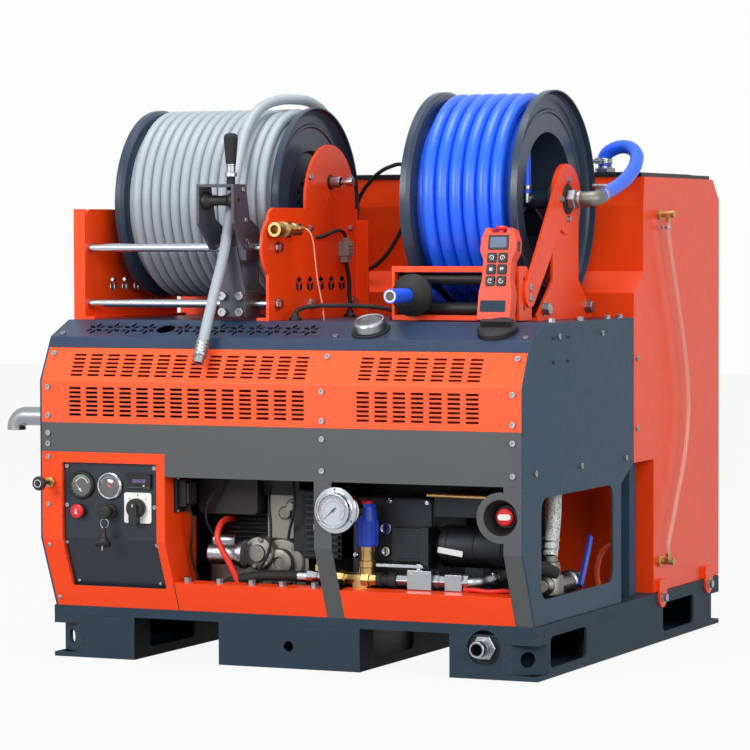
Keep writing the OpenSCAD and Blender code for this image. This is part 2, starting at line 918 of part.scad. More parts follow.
// Elbow with a barb: out of the wall along X, then down or up
module sight_elbow(z, dir) {
    to_right([cab_x - tank_t - 6, sight_y, z])
        cylinder(d = 13.6, h = 18);
    to_right([cab_x, sight_y, z])
        cylinder(d = 22, h = 8, $fn = 6);
    to_right([cab_x + 8, sight_y, z])
        cylinder(d = 14, h = 22);
    translate([cab_x + 23, sight_y, z])
        scale([1, 1, dir])
            translate([0, 0, -15])
                cylinder(d = sight_d, h = 15);
}

module fittings() {
    lid_top = tank_z + seam + lid_t;
    color(brass) {
        sight_elbow(sight_z[1], 1);
        sight_elbow(sight_z[0], -1);
        rod_z(27.6, tank_z - 4, 1040, 438, 132);
        rod_z(44, lid_top + 3 + seam, lid_top + 12, 438, 132);
        rod_z(34, 1040, 1046, 438, 132);
    }
    color(black) {
        difference() {
            to_right([supply_plate_r + plate_t, supply_y, supply_z])
                cylinder(d = 62, h = 9);
            to_right([supply_plate_r + plate_t - 1, supply_y, supply_z])
                cylinder(d = supply_axle_d + 2, h = 2);
        }
        box([main_side_x, -420, main_z - 70], [main_side_x + 28, -404, main_z - 46]);
    }
    color(steel) {
        to_right([supply_plate_r + plate_t + 9, supply_y, supply_z])
            cylinder(d = 40, h = 16, $fn = 6);
        rod_x(30, supply_plate_r + plate_t + 25, elbow_x - 9, supply_y, supply_z);
        translate([elbow_x, supply_y, supply_z])
            sphere(d = 34);
        translate([elbow_x, supply_y, supply_z])
            rotate([-78, 0, 0])
                cylinder(d = 24, h = 25);
    }
    color(brass) {
        rod_y(24, -478, -400, main_side_x + 18, main_z - 58);
        rod_y(30, -500, -478, main_side_x + 18, main_z - 58);
        rod_y(18, -526, -500, main_side_x + 18, main_z - 58);
    }
}

module sight_tube() {
    color(clear)
        tube(sight_route, sight_d, 8);
}

module feed_hose() {
    color(hose_blue)
        tube(feed_route, supply_hose_d, 10);
}

// Fasteners of the sheets, all of one kind per place

module panel_screws() {
    color(steel) {
        for (x = [-530, 109, 528]) {
            for (z = [grille_z + 15, fold_z - 14, grille_z - 22])
                to_front([x, front_y, z])
                    screw();
            translate([x, front_y, fold_z])
                rotate([-fold_a, 0, 0])
                    to_front([0, 0, 62])
                        screw();
            on_slope(x + 4, 12)
                screw();
        }
        for (x = [-530, 109, 528])
            to_front([x, front_y, x < 0 ? band_left_z + 16 : band_z + 22])
                screw();
        for (z = [331, 432])
            to_front([-530, front_y, z])
                screw(10, 3.5);
        for (x = [panel_x[0] + 10, panel_x[1] - 10], z = [panel_z[1] - 10, panel_z[1] - 92])
            to_front([x, panel_y, z])
                screw(9, 3.5);
        for (x = [-230, -155, -80, -10, 64])
            translate([x, face_y(sill_z) + 20, sill_z + 2.35])
                rotate([atan2(4, 34), 0, 0])
                    hex_bolt(17, 10);
        for (s = [0, 1])
            mirror([s, 0, 0]) {
                for (y = [-570, -313, -45])
                    to_right([cab_x, y, 419])
                        screw();
                for (y = [-440, -190])
                    to_right([cab_x, y, 690])
                        screw();
                for (z = [478, 630])
                    to_right([cab_x, 26, z])
                        screw();
                for (y = lug_y)
                    to_right([skid_x + seam + 5, y, skid_h - 12])
                        hex_bolt(19, 9);
            }
        for (x = [-300, 40, 380])
            translate([x, -30, deck_z])
                screw();
    }
}

// Jetting reel

// Outline of a stand plate: [y, z]
module main_plate_outline(front, bulge) {
    translate([front, base_deck])
        square([-62 - front, main_shoulder_z - base_deck - main_corner_r]);
    translate([front + main_corner_r, base_deck])
        square([-62 - front - main_corner_r, main_shoulder_z - base_deck]);
    translate([front + main_corner_r, main_shoulder_z - main_corner_r])
        circle(main_corner_r);
    if (bulge)
        translate([rod_y, rod_z[1]])
            circle(70);
    translate([main_y, main_z])
        circle(126);
}

base_deck = deck_z + seam;

module main_plate_holes(x0) {
    rod_x(axle_d + 6, x0 - 1, x0 + plate_t + 1, main_y, main_z);
    for (z = rod_z)
        rod_x(rod_d + 0.3, x0 - 1, x0 + plate_t + 1, rod_y, z);
    for (k = [0 : 4])
        translate([x0 - 1, -360 + k * 54, base_deck + 74])
            rotate([90, 0, 90])
                linear_extrude(plate_t + 2)
                    cube_sign(20);
}

module main_stand_left() {
    x0 = main_plate_l;
    color(orange)
        difference() {
            union() {
                along_x(x0, x0 + plate_t)
                    main_plate_outline(-487, false);
                box([x0 - 21, -487, base_deck], [x0 + plate_t, -487 + plate_t, main_shoulder_z]);
                box([x0, -487, base_deck], [x0 + 28, -62, base_deck + plate_t]);
            }
            main_plate_holes(x0);
        }
}

module main_stand_right() {
    x0 = main_plate_r;
    color(orange)
        difference() {
            union() {
                along_x(x0, x0 + plate_t)
                    main_plate_outline(-507, true);
                box([x0, -62 - plate_t, base_deck], [x0 + 34, -62, 930]);
                box([x0 - 22, -507, base_deck], [x0 + plate_t, -62, base_deck + plate_t]);
            }
            main_plate_holes(x0);
            rod_x(lock_d + 2 * run_gap, x0 - 1, x0 + plate_t + 1, main_y, main_z + lock_r);
        }
}

module bearing(x0, d, y, z) {
    difference() {
        rod_x(bearing_d, x0, x0 + bearing_w, y, z);
        rod_x(d + 2 * run_gap, x0 - 1, x0 + bearing_w + 1, y, z);
        rod_x(d + 20, x0 + 7, x0 + bearing_w - 7, y, z);
    }
}

module reel_bearings() {
    color(grey) {
        bearing(main_plate_l + plate_t, axle_d, main_y, main_z);
        bearing(main_plate_r - bearing_w, axle_d, main_y, main_z);
        bearing(supply_plate_l + plate_t, supply_axle_d, supply_y, supply_z);
        bearing(supply_plate_r - bearing_w, supply_axle_d, supply_y, supply_z);
    }
    color(steel) {
        for (sy = [-1, 1], sz = [-1, 1]) {
            y = main_y + sy * main_bolt.x;
            z = main_z + sz * main_bolt.y;
            to_right([main_plate_r + plate_t, y, z])
                hex_bolt(12, 6);
            mirror([1, 0, 0])
                to_right([-main_plate_l, y, z])
                    hex_bolt(12, 6);
        }
        for (a = [0 : 90 : 270])
            to_right(wrap(supply_y, supply_z, supply_bolt_r, a, arm_x + 5))
                hex_bolt(12, 6);
    }
}

// Pressed flange: inner face at 0, rim rolled out; the middle is dished inwards
function flange(r, rim, dish_r, dish, hub_r) = [
    [hub_r, -dish], [dish_r - 6, -dish], [dish_r, 0], [r - 16, 0], [r - 6, 3], [r, 10], [r, rim],
    [r - 3, rim], [r - 3, 11], [r - 8, 6], [r - 17, 3], [r * 0.82 + 3, 3], [r * 0.82, 6], [r * 0.8, 6],
    [r * 0.8 - 3, 3], [dish_r - 2, 3], [dish_r - 8, 3 - dish], [hub_r, 3 - dish]
];

module flange_right(x, p, y, z) {
    turned_x([for (q = p) [q.x, x + q.y]], y, z);
}

module flange_left(x, p, y, z) {
    turned_x([for (q = p) [q.x, x - q.y]], y, z);
}

module main_drum() {
    p = flange(main_flange_d / 2, main_rim, main_barrel_r - 4, 10, 0);
    color(black)
        difference() {
            union() {
                flange_left(main_left_x, p, main_y, main_z);
                flange_right(main_right_x, p, main_y, main_z);
                turned_x([
                    [main_barrel_r - 3, main_left_x], [main_barrel_r, main_left_x],
                    [main_barrel_r, main_right_x], [main_barrel_r - 3, main_right_x]
                ], main_y, main_z);
                rod_x(axle_d, main_plate_l + plate_t + 1, main_plate_r - 1, main_y, main_z);
            }
            for (a = [0 : 30 : 330])
                translate(wrap(main_y, main_z, lock_r, a, main_right_x - 20))
                    rotate([0, 90, 0])
                        cylinder(d = lock_d + 4, h = 24, $fn = 24);
        }
}

// One layer of hose with a straight end of one diameter at each side
function layer(y, z, r, x0, pitch, turns, a0, d) =
    let (
        n = 24 * turns,
        turns_p = [for (i = [0 : n]) wrap(y, z, r, a0 + 15 * i, x0 + pitch * i / 24)],
        t0 = unit(turns_p[0] - turns_p[1]),
        t1 = unit(turns_p[n] - turns_p[n - 1])
    )
    concat([turns_p[0] + d * t0], turns_p, [turns_p[n] + d * t1]);

function core(r0, r1, x0, x1) = [[r0, x0], [r1, x0], [r1, x1], [r0, x1]];

module main_hose_winding() {
    x0 = main_left_x + (main_width - main_turns * main_pitch) / 2;
    path = layer(main_y, main_z, main_rc, x0, main_pitch, main_turns, 60, main_hose_d);
    echo(main_hose_winding_gap = self_gap(path, main_hose_d, 12));
    color(hose_grey) {
        tube(path, main_hose_d, 6);
        turned_x(
            core(main_barrel_r + seam, main_rc - main_hose_d / 2 - 1.1,
                 main_left_x + seam, main_right_x - seam),
            main_y, main_z
        );
    }
}

module guide_rods() {
    color(steel)
        for (z = rod_z) {
            rod_x(rod_d, main_plate_l - 4, main_plate_r + plate_t + 3, rod_y, z);
            to_right([main_plate_r + plate_t + 3, rod_y, z])
                hex_bolt(20, 10);
        }
    color(steel)
        for (y = [-298, -88])
            to_right([main_plate_r + plate_t, y, deck_z + 32])
                hex_bolt(20, 12);
}

module carriage_frame() {
    x0 = car_x - car_w / 2;
    x1 = car_x + car_w / 2;
    color(grey)
        difference() {
            union() {
                for (z = rod_z)
                    box([x0, car_y[0], z - 27], [x1, car_y[1], z + 27]);
                along_y(car_y[0] - 6, car_y[0])
                    polygon([
                        [x0, rod_z[0] - 27], [x1, rod_z[0] - 27], [x1, rod_z[0] + 27], [car_x + 10, rod_z[1]],
                        [car_x - 10, rod_z[1]], [x0, rod_z[0] + 27]
                    ]);
                along_y(car_y[1] - 6, car_y[1])
                    polygon([[x0, rod_z[0]], [x1, rod_z[0]], [x1, rod_z[1]], [x0, rod_z[1]]]);
                for (x = [cheek_x[0], cheek_x[1] - cheek_t])
                    along_x(x, x + cheek_t)
                        polygon([
                            [car_y[1], rod_z[1] - 6], [car_y[0], rod_z[1] - 6], [-556, rod_z[1] + 50],
                            [-556, grip_z], [-500, grip_z], [-480, rod_z[1] + 60], [car_y[1], rod_z[1] + 40]
                        ]);
                box([cheek_x[0], car_y[1] - 6, rod_z[1] - 6], [cheek_x[1], car_y[1], rod_z[1] + 40]);
                box([cheek_x[0], -556, grip_z - 6], [cheek_x[1], -500, grip_z]);
                for (dx = [-20, 20], dz = [-17, 17])
                    to_front([car_x + dx, car_y[0] - 6, rod_z[0] + dz])
                        hex_bolt(15, 7);
            }
            for (z = rod_z)
                rod_x(rod_d + 2 * run_gap, cheek_x[0] - 1, cheek_x[1] + 1, rod_y, z);
            rod_x(pin_d + 2 * run_gap, cheek_x[0] - 1, cheek_x[1] + 1, roll_y, roll_z);
            rod_z(12 + 2 * run_gap, grip_z - 10, grip_z + 1, grip_x, grip_y);
        }
}

module carriage_roller() {
    w = (cheek_x[1] - cheek_x[0]) / 2 - cheek_t - 0.6;
    r = roll_d / 2;
    c = (cheek_x[0] + cheek_x[1]) / 2;
    color(black) {
        turned_x([
            [0, c - w], [r, c - w], [r, c - w + 8], [r - 7, c - w + 18], [r - 9, c], [r - 7, c + w - 18],
            [r, c + w - 8], [r, c + w], [0, c + w]
        ], roll_y, roll_z);
        rod_x(pin_d, cheek_x[0] + 0.5, cheek_x[1] - 0.5, roll_y, roll_z);
    }
}

module carriage_grip() {
    color(black)
        translate([grip_x, grip_y, 0])
            rotate_extrude()
                polygon([
                    [0, grip_z - 13], [9, grip_z - 13], [9, grip_z - 6.4], [6, grip_z - 6.4],
                    [6, grip_z + 0.4], [9, grip_z + 0.4], [9, grip_z + 40], [11, grip_z + 44],
                    [15, grip_z + 96], [14, grip_z + 102], [9, grip_z + 106], [0, grip_z + 107]
                ]);
}

function main_tail_path() = concat(
    [for (a = [-180 : 15 : -30]) wrap(main_y, main_z, main_tail_r, a, main_right_x - main_hose_d * 0.6)],
    [wrap(main_y, main_z, main_tail_r + 1, -14, main_right_x - main_hose_d * 0.75)],
    main_route
);

module main_hose_tail() {
    color(hose_grey)
        tube(main_tail_path(), main_hose_d, 10);
}

// Crimped ferrule and threaded tip that carry on straight from the hose
module main_hose_end() {
    last = main_route[len(main_route) - 1];
    aim = last - main_route[len(main_route) - 2];
    tilt = acos(unit(aim).z);
    turn = atan2(aim.y, aim.x);
    color(steel)
        translate(last)
            rotate([0, tilt, turn])
                difference() {
                    rotate_extrude()
                        polygon([
                            [0, 0.1], [14, 0.1], [14.5, 4], [13, 8], [14.5, 12], [13, 16], [14.5, 20],
                            [13, 24], [14.5, 28], [14, 34], [11, 35], [11, 50], [0, 50]
                        ]);
                    translate([0, 0, 10])
                        cylinder(r = 6, h = 50);
                }
}

module lock_plunger() {
    x0 = main_plate_r + plate_t;
    color(steel) {
        rod_x(lock_d, main_plate_r - 20, x0 + lock_stroke + 2, main_y, main_z + lock_r);
        rod_x(19, x0 + lock_stroke + 2, x0 + lock_stroke + 16, main_y, main_z + lock_r);
    }
}

// Supply reel

module supply_plate_outline() {
    translate([supply_y, supply_z])
        circle(75);
    translate([supply_y - 75, base_deck])
        square([150, supply_z - base_deck]);
    polygon([
        [supply_y - 75, base_deck + 82], [supply_y - 160, base_deck + 12], [supply_y - 160, base_deck],
        [supply_y + 155, base_deck], [supply_y + 155, base_deck + 12], [supply_y + 75, base_deck + 82]
    ]);
}

module supply_stands() {
    color(orange)
        for (x = [supply_plate_l, supply_plate_r]) {
            foot = x < 300 ? 0 : plate_t - 36;
            difference() {
                union() {
                    along_x(x, x + plate_t)
                        supply_plate_outline();
                    box(
                        [x + foot, supply_y - 160, base_deck],
                        [x + foot + 36, supply_y + 155, base_deck + plate_t]
                    );
                }
                rod_x(supply_axle_d + 6, x - 1, x + plate_t + 1, supply_y, supply_z);
            }
        }
    color(steel)
        for (y = [-300, -50])
            to_right([supply_plate_r + plate_t, y, deck_z + 24])
                hex_bolt(24, 14);
}

// Arm from the stand down to the fairlead, with a folded front edge
module guide_arm() {
    color(orange)
        difference() {
            union() {
                along_x(arm_x, arm_x + 5) {
                    translate([supply_y, supply_z])
                        circle(74);
                    translate(arm_end)
                        circle(30);
                    polygon([
                        [supply_y - 64, supply_z + 37], [arm_end.x - 28, arm_end.y + 11],
                        [arm_end.x + 24, arm_end.y - 18], [supply_y - 40, supply_z - 62]
                    ]);
                }
            }
            rod_x(66, arm_x - 1, arm_x + 6, supply_y, supply_z);
            for (dz = [-9, 9])
                rod_x(9, arm_x - 1, arm_x + 6, arm_end.x, arm_end.y + dz * 1.2);
        }
}

module fairlead_frame() {
    t = 6;
    color(orange)
        difference() {
            union() {
                for (x = [lead_x[0], lead_x[1] - t])
                    along_x(x, x + t)
                        polygon([
                            [lead_y[0], lead_z[0]], [lead_y[0], lead_z[1]], [lead_y[1] - 14, lead_z[1]],
                            [lead_y[1] + 14, lead_z[1] - 24], [lead_y[1] + 14, lead_z[0]]
                        ]);
                box([lead_x[0], lead_y[0], lead_z[1] - 12], [lead_x[1], lead_y[0] + 5, lead_z[1]]);
                box([lead_x[0], lead_y[0], lead_z[1] - 5], [lead_x[1], lead_y[0] + 40, lead_z[1]]);
                box([lead_x[0], lead_y[0], lead_z[0]], [lead_x[1], lead_y[0] + 5, lead_z[0] + 10]);
                box([lead_x[0], lead_y[0], lead_z[0]], [lead_x[1], lead_y[0] + 40, lead_z[0] + 5]);
            }
            for (z = lead_roller_z)
                rod_x(pin_d + 2 * run_gap, lead_x[0] - 1, lead_x[1] + 1, lead_roller_y, z);
        }
}

module lead_roller(z) {
    color(black) {
        rod_x(lead_roller_d, lead_x[0] + 6.5, lead_x[1] - 6.5, lead_roller_y, z);
        rod_x(pin_d, lead_x[0] + 0.5, lead_x[1] - 0.5, lead_roller_y, z);
    }
}

module fairlead_roller_top() {
    lead_roller(lead_roller_z[1]);
}

module fairlead_roller_bottom() {
    lead_roller(lead_roller_z[0]);
}

module supply_drum() {
    p = flange(supply_flange_d / 2, 24, supply_barrel_r + 20, 0, supply_barrel_r - 4);
    web = (supply_left_x + supply_right_x) / 2;
    color(black) {
        flange_left(supply_left_x, p, supply_y, supply_z);
        flange_right(supply_right_x, p, supply_y, supply_z);
        turned_x([
            [supply_barrel_r - 4, supply_left_x], [supply_barrel_r, supply_left_x],
            [supply_barrel_r, supply_right_x], [supply_barrel_r - 4, supply_right_x]
        ], supply_y, supply_z);
        turned_x([
            [0, web - 3], [supply_barrel_r - 3, web - 3], [supply_barrel_r - 3, web + 3], [0, web + 3]
        ], supply_y, supply_z);
        rod_x(supply_axle_d, supply_plate_l + plate_t + 1, supply_plate_r + plate_t, supply_y, supply_z);
        for (a = [0, 120, 240])
            translate([web, supply_y, supply_z])
                rotate([a, 0, 0])
                    box([0, -5, 18], [70, 5, supply_barrel_r - 3]);
    }
}

module supply_hose_winding() {
    x0 = supply_left_x + (supply_width - supply_turns * supply_pitch) / 2;
    path = layer(supply_y, supply_z, supply_rc, x0, supply_pitch, supply_turns, 30, supply_hose_d);
    echo(supply_hose_winding_gap = self_gap(path, supply_hose_d, 12));
    color(hose_blue) {
        tube(path, supply_hose_d, 6);
        turned_x(
            core(supply_barrel_r + seam, supply_rc - supply_hose_d / 2 - 1.2,
                 supply_left_x + seam, supply_right_x - seam),
            supply_y, supply_z
        );
    }
}

function supply_tail_path() = concat(
    [for (a = [156, 150]) wrap(supply_y, supply_z, supply_tail_r, a, supply_left_x + supply_hose_d / 2 + 1)],
    supply_route
);

module supply_hose_tail() {
    color(hose_blue)
        tube(supply_tail_path(), supply_hose_d, 10);
}

// Rubber stop clamped on the hose in front of the fairlead
module hose_stop() {
    p = supply_route[3];
    color(black)
        translate([p.x, hose_stop_y, p.z])
            rotate([90, 0, 0])
                rotate_extrude()
                    polygon([
                        [supply_hose_d / 2 + 0.4, -14], [40, -14], [44, -8], [44, 2], [34, 16], [22, 26],
                        [supply_hose_d / 2 + 0.4, 28]
                    ]);
}

// Cables held at both ends, and the plug on the stand
module wiring() {
    color(black) {
        tube(plug_route, 9, 8);
        tube(deck_route, 9, 8);
        tube(loop_route, 9, 8);
    }
    color(hose_grey)
        box([main_side_x, -160, 846], [main_side_x + 22, -130, 884]);
}

// Remote control

module on_remote() {
    translate([remote_x, remote_y, base_deck])
        rotate([-remote_lean, 0, 0])
            children();
}

// Place of a key or the stop button on the remote's face
module key_place(column, row) {
    on_remote()
        translate([(column - 0.5) * key_gap, -remote_t, key_low + row * key_gap])
            rotate([90, 0, 0])
                children();
}

module remote_body() {
    h = remote_h;
    w = remote_w / 2;
    color(orange)
        difference() {
            on_remote()
                along_y(-remote_t, 0)
                    polygon([
                        [3 - w, 0], [w - 3, 0], [w - 3, 56], [w - 8, 82], [w - 8, h - 66], [w, h - 48],
                        [w, h - 24], [w - 9, h], [18, h], [16, h - 10], [-16, h - 10], [-18, h],
                        [9 - w, h], [-w, h - 24], [-w, h - 48], [8 - w, h - 66], [8 - w, 82], [3 - w, 56]
                    ]);
            on_remote()
                translate([0, -remote_t, h - 30])
                    box([-remote_screen.x / 2, -1, -remote_screen.y / 2],
                        [remote_screen.x / 2, 2, remote_screen.y / 2]);
            for (c = [0, 1], r = [0 : 2])
                key_place(c, r)
                    translate([-key_w / 2 - 0.4, -key_w / 2 - 0.4, -7])
                        cube([key_w + 0.8, key_w + 0.8, 8]);
            on_remote()
                translate([0, -remote_t / 2, h - 20])
                    cylinder(d = 16.4, h = 20);
        }
}

module remote_stop() {
    color(red)
        on_remote()
            translate([0, -remote_t / 2, h_stop()])
                rotate_extrude()
                    polygon([[0, 0], [7.8, 0], [7.8, 13], [14, 14], [14.5, 17], [12, 21], [0, 22]]);
}

function h_stop() = remote_h - 16;

module remote_key(i) {
    color(black)
        key_place(i % 2, floor(i / 2))
            translate([-key_w / 2, -key_w / 2, -4.5])
                cube([key_w, key_w, 7]);
}

module remote_key_1() remote_key(0);
module remote_key_2() remote_key(1);
module remote_key_3() remote_key(2);
module remote_key_4() remote_key(3);
module remote_key_5() remote_key(4);
module remote_key_6() remote_key(5);

// Caps on the sloping front of the deck

module fuel_cap() {
    color(steel)
        on_slope(180, slope_len / 2)
            rotate_extrude()
                polygon([[0, -14], [20, -14], [20, 0.3], [33, 0.3], [33, 12], [29, 17], [18, 20], [0, 21]]);
}

module filler_cap() {
    color(black)
        on_slope(461, slope_len / 2) {
            rotate_extrude()
                polygon([[0, -14], [30, -14], [30, 0.3], [42, 0.3], [42, 10], [38, 15], [0, 16]]);
            translate([-34, -6, 14])
                cube([68, 12, 12]);
        }
}

// Engine and pump

module engine() {
    color(steel) {
        box([-240, engine_y, 128], [0, -190, 250]);
        box([-190, engine_y + 20, 250], [-40, -210, 350]);
        for (k = [0 : 4])
            box([-204, engine_y + 6, 258 + k * 18], [-26, -200, 264 + k * 18]);
        rod_y(104, engine_y - 24, engine_y, -60, 210);
        rod_y(58, engine_y - 40, engine_y - 24, -60, 210);
        rod_y(66, engine_y - 60, engine_y, -196, 240);
        rod_y(50, engine_y - 74, engine_y - 60, -196, 240);
        for (x = [-225, -15])
            box([x - 14, engine_y - 10, base_z], [x + 14, -180, 128]);
    }
    color(black) {
        box([-235, engine_y - 20, 349], [-20, -220, 470]);
        rod_y(34, engine_y - 55, engine_y, -130, 160);
    }
}

module pump() {
    color(black) {
        difference() {
            box([118, -500, base_z], [300, -330, 356]);
            for (x = [130, 288], z = [232, 344])
                rod_y(12, -501, -488, x, z);
        }
        rod_y(46, -512, -500, 196, 266);
        box([213, -522, 218], [305, -500, 300]);
        rod_x(86, 312, 460, -470, 258);
        rod_x(60, 300, 312, -470, 258);
        box([360, -480, base_z], [400, -440, 220]);
    }
    color(brass) {
        rod_z(30, 176, 258, unloader_at.x, unloader_at.y);
        rod_x(24, 100, unloader_at.x, unloader_at.y, 190);
        rod_x(24, unloader_at.x, 258, unloader_at.y, 190);
        rod_x(34, 108, 120, unloader_at.y, 190);
        rod_y(22, -545, -500, 220, 190);
    }
    color(steel) {
        difference() {
            box([258, -565, 174], [312, -525, 214]);
            rod_z(12 + 2 * run_gap, 200, 215, valve_at.x, valve_at.y);
        }
        rod_x(26, 312, 340, -545, 192);
        box([340, -560, 176], [376, -530, 206]);
        rod_x(24, 376, 420, -545, 192);
        rod_y(24, -545, -512, 420, 192);
        box([408, -512, 140], [432, -480, 216]);
    }
}

module unloader_knob() {
    color(hose_blue)
        translate([unloader_at.x, unloader_at.y, 0])
            rotate_extrude()
                polygon([
                    [0, 258.4], [20, 258.4], [22, 264], [22, 312], [18.5, 340], [16, 346], [0, 348]
                ]);
}

module pump_valve_lever() {
    color(steel) {
        rod_z(12, 204, 226, valve_at.x, valve_at.y);
        box([valve_at.x - 92, valve_at.y - 8, 218], [valve_at.x + 12, valve_at.y + 8, 224]);
    }
}

// Suction hose, strainer and valve in the right window, and the water inlet on the skid
module suction_line() {
    v = suction_valve_at;
    color(clear)
        tube(suction_route, 30, 10);
    color(steel) {
        rod_z(38, 196, 235.8, suction_at.x, suction_at.y);
        rod_z(54, 150, 196, suction_at.x, suction_at.y);
        rod_z(30, base_z, 150, suction_at.x, suction_at.y);
        rod_y(30, suction_at.y, v.y, suction_at.x, 172);
        difference() {
            box([v.x + 8, v.y, 148], [v.x + 50, v.y + 54, 196]);
            rod_x(12 + 2 * run_gap, v.x + 26, v.x + 51, v.y + 27, 172);
        }
        difference() {
            union() {
                rod_y(2 * inlet_r, -skid_y - 40, -skid_y - 6, inlet_x, inlet_z);
                rod_y(50, -skid_y - 14, -skid_y - 2, inlet_x, inlet_z);
                rod_y(2 * inlet_r, -skid_y - 6, -skid_y + 60, inlet_x, inlet_z);
                box(
                    [inlet_x - 42, -skid_y + skid_t + seam, skid_t + 4],
                    [inlet_x + 42, -skid_y + skid_t + seam + 4, pocket_h - skid_t - 2 * seam]
                );
            }
            rod_y(2 * inlet_r - 8, -skid_y - 41, -skid_y + 61, inlet_x, inlet_z);
        }
    }
}

module suction_valve_lever() {
    v = suction_valve_at;
    color(hose_blue) {
        rod_x(12, v.x + 30, v.x + 58, v.y + 27, 172);
        translate([v.x + 52, v.y + 27, 172])
            rotate([-32, 0, 0])
                translate([0, -8, -12])
                    cube([6, 16, 117]);
    }
}

// Tail pipe out of the left side, bent down at its end
module exhaust_bend(d, drop) {
    bend = 26;
    translate([exhaust_at.x + bend, exhaust_at.y, exhaust_at.z]) {
        rotate([0, 90, 0])
            cylinder(d = d, h = -cab_x + side_t + 40 - exhaust_at.x - bend);
        translate([0, 0, -bend])
            rotate([90, 0, 0])
                rotate([0, 0, 90])
                    rotate_extrude(angle = 90)
                        translate([bend, 0])
                            circle(d = d);
        translate([-bend, 0, -bend - drop])
            cylinder(d = d, h = drop);
    }
}

module exhaust_pipe() {
    color(steel)
        difference() {
            exhaust_bend(40, 4);
            exhaust_bend(35, 5);
            rod_x(35, -cab_x, -cab_x + 80, exhaust_at.y, exhaust_at.z);
        }
}

skid_deck();
skid_runners();
side_panels();
deck_cover();
grille_panel();
front_frame();
lower_front_panels();
control_panel();
panel_instruments();
ignition_key();
selector_knob();
start_button();
stop_button();
choke_knob();
pressure_gauge();
water_tank();
tank_lid();
fittings();
sight_tube();
feed_hose();
panel_screws();
main_stand_left();
main_stand_right();
reel_bearings();
main_drum();
main_hose_winding();
guide_rods();
carriage_frame();
carriage_roller();
carriage_grip();
main_hose_tail();
main_hose_end();
lock_plunger();
supply_stands();
guide_arm();
fairlead_frame();
fairlead_roller_top();
fairlead_roller_bottom();
supply_drum();
supply_hose_winding();
supply_hose_tail();
hose_stop();
wiring();
remote_body();
remote_stop();
remote_key_1();
remote_key_2();
remote_key_3();
remote_key_4();
remote_key_5();
remote_key_6();
fuel_cap();
filler_cap();
engine();
pump();
unloader_knob();
pump_valve_lever();
suction_valve_lever();
suction_line();
exhaust_pipe();
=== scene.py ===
import math

import bmesh
import bpy
from mathutils import Matrix, Vector


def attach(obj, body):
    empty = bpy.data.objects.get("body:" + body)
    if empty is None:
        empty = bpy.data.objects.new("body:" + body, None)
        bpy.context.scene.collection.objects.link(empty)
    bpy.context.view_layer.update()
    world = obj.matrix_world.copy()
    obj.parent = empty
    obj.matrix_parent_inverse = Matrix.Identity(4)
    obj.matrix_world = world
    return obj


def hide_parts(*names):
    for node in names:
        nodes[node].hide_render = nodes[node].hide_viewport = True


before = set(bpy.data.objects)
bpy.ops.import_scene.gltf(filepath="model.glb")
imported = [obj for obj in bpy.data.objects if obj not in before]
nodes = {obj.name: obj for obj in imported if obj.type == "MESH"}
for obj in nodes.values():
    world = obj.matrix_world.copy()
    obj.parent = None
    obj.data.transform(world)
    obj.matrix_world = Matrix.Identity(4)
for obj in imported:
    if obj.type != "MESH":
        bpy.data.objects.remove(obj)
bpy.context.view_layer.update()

# Every length below is in millimetres, and pieces are scaled to metres when they are finished
MM = 0.001
X, Y, Z = Vector((1, 0, 0)), Vector((0, 1, 0)), Vector((0, 0, 1))
FRONT = -Y
ORIGIN = (0, 0, 0)
FRONT_AXES = Matrix((X, Z, FRONT)).transposed().to_4x4()

# Faces of the object that several pieces sit on
FRONT_Y, PANEL_Y = -632, -622
DECK_Z, SKID_Z = 718.1, 110.4
MAIN_STAND_X, SUPPLY_STAND_X, SIDE_X = -72, 464, 549.9
ENGINE_Y, PUMP_Y, SILL_LINE_Y = -450, -506, -545
# How far the lower front leans back for each millimetre below its kink
LEAN, KINK_Z = 0.4275, 259

# Middles of the instruments
START, KEY, SELECTOR = (-461, PANEL_Y, 318), (-388, PANEL_Y, 319), (-321, PANEL_Y, 328)
STOP, CHOKE, PUMP_GAUGE = (500, FRONT_Y, 333), (-524, FRONT_Y, 378), (139, FRONT_Y, 338)

# Reels: the axle's Y and Z, the drum between its flanges, and the hose that is wound on it
MAIN_AXLE, SUPPLY_AXLE = (-200, 967), (-175, 971)
MAIN_LEFT, MAIN_WIDTH = -469, 347.5
SUPPLY_LEFT, SUPPLY_WIDTH = 206, 215
MAIN_HOSE, SUPPLY_HOSE = 22.4, 30
MAIN_WIND_R, MAIN_PITCH, MAIN_TURNS = 193.8, 22.9, 14
SUPPLY_WIND_R, SUPPLY_PITCH, SUPPLY_TURNS = 211, 30.6, 6
MAIN_TAIL_R, SUPPLY_TAIL_R = 223.2, 248


# Shader maths


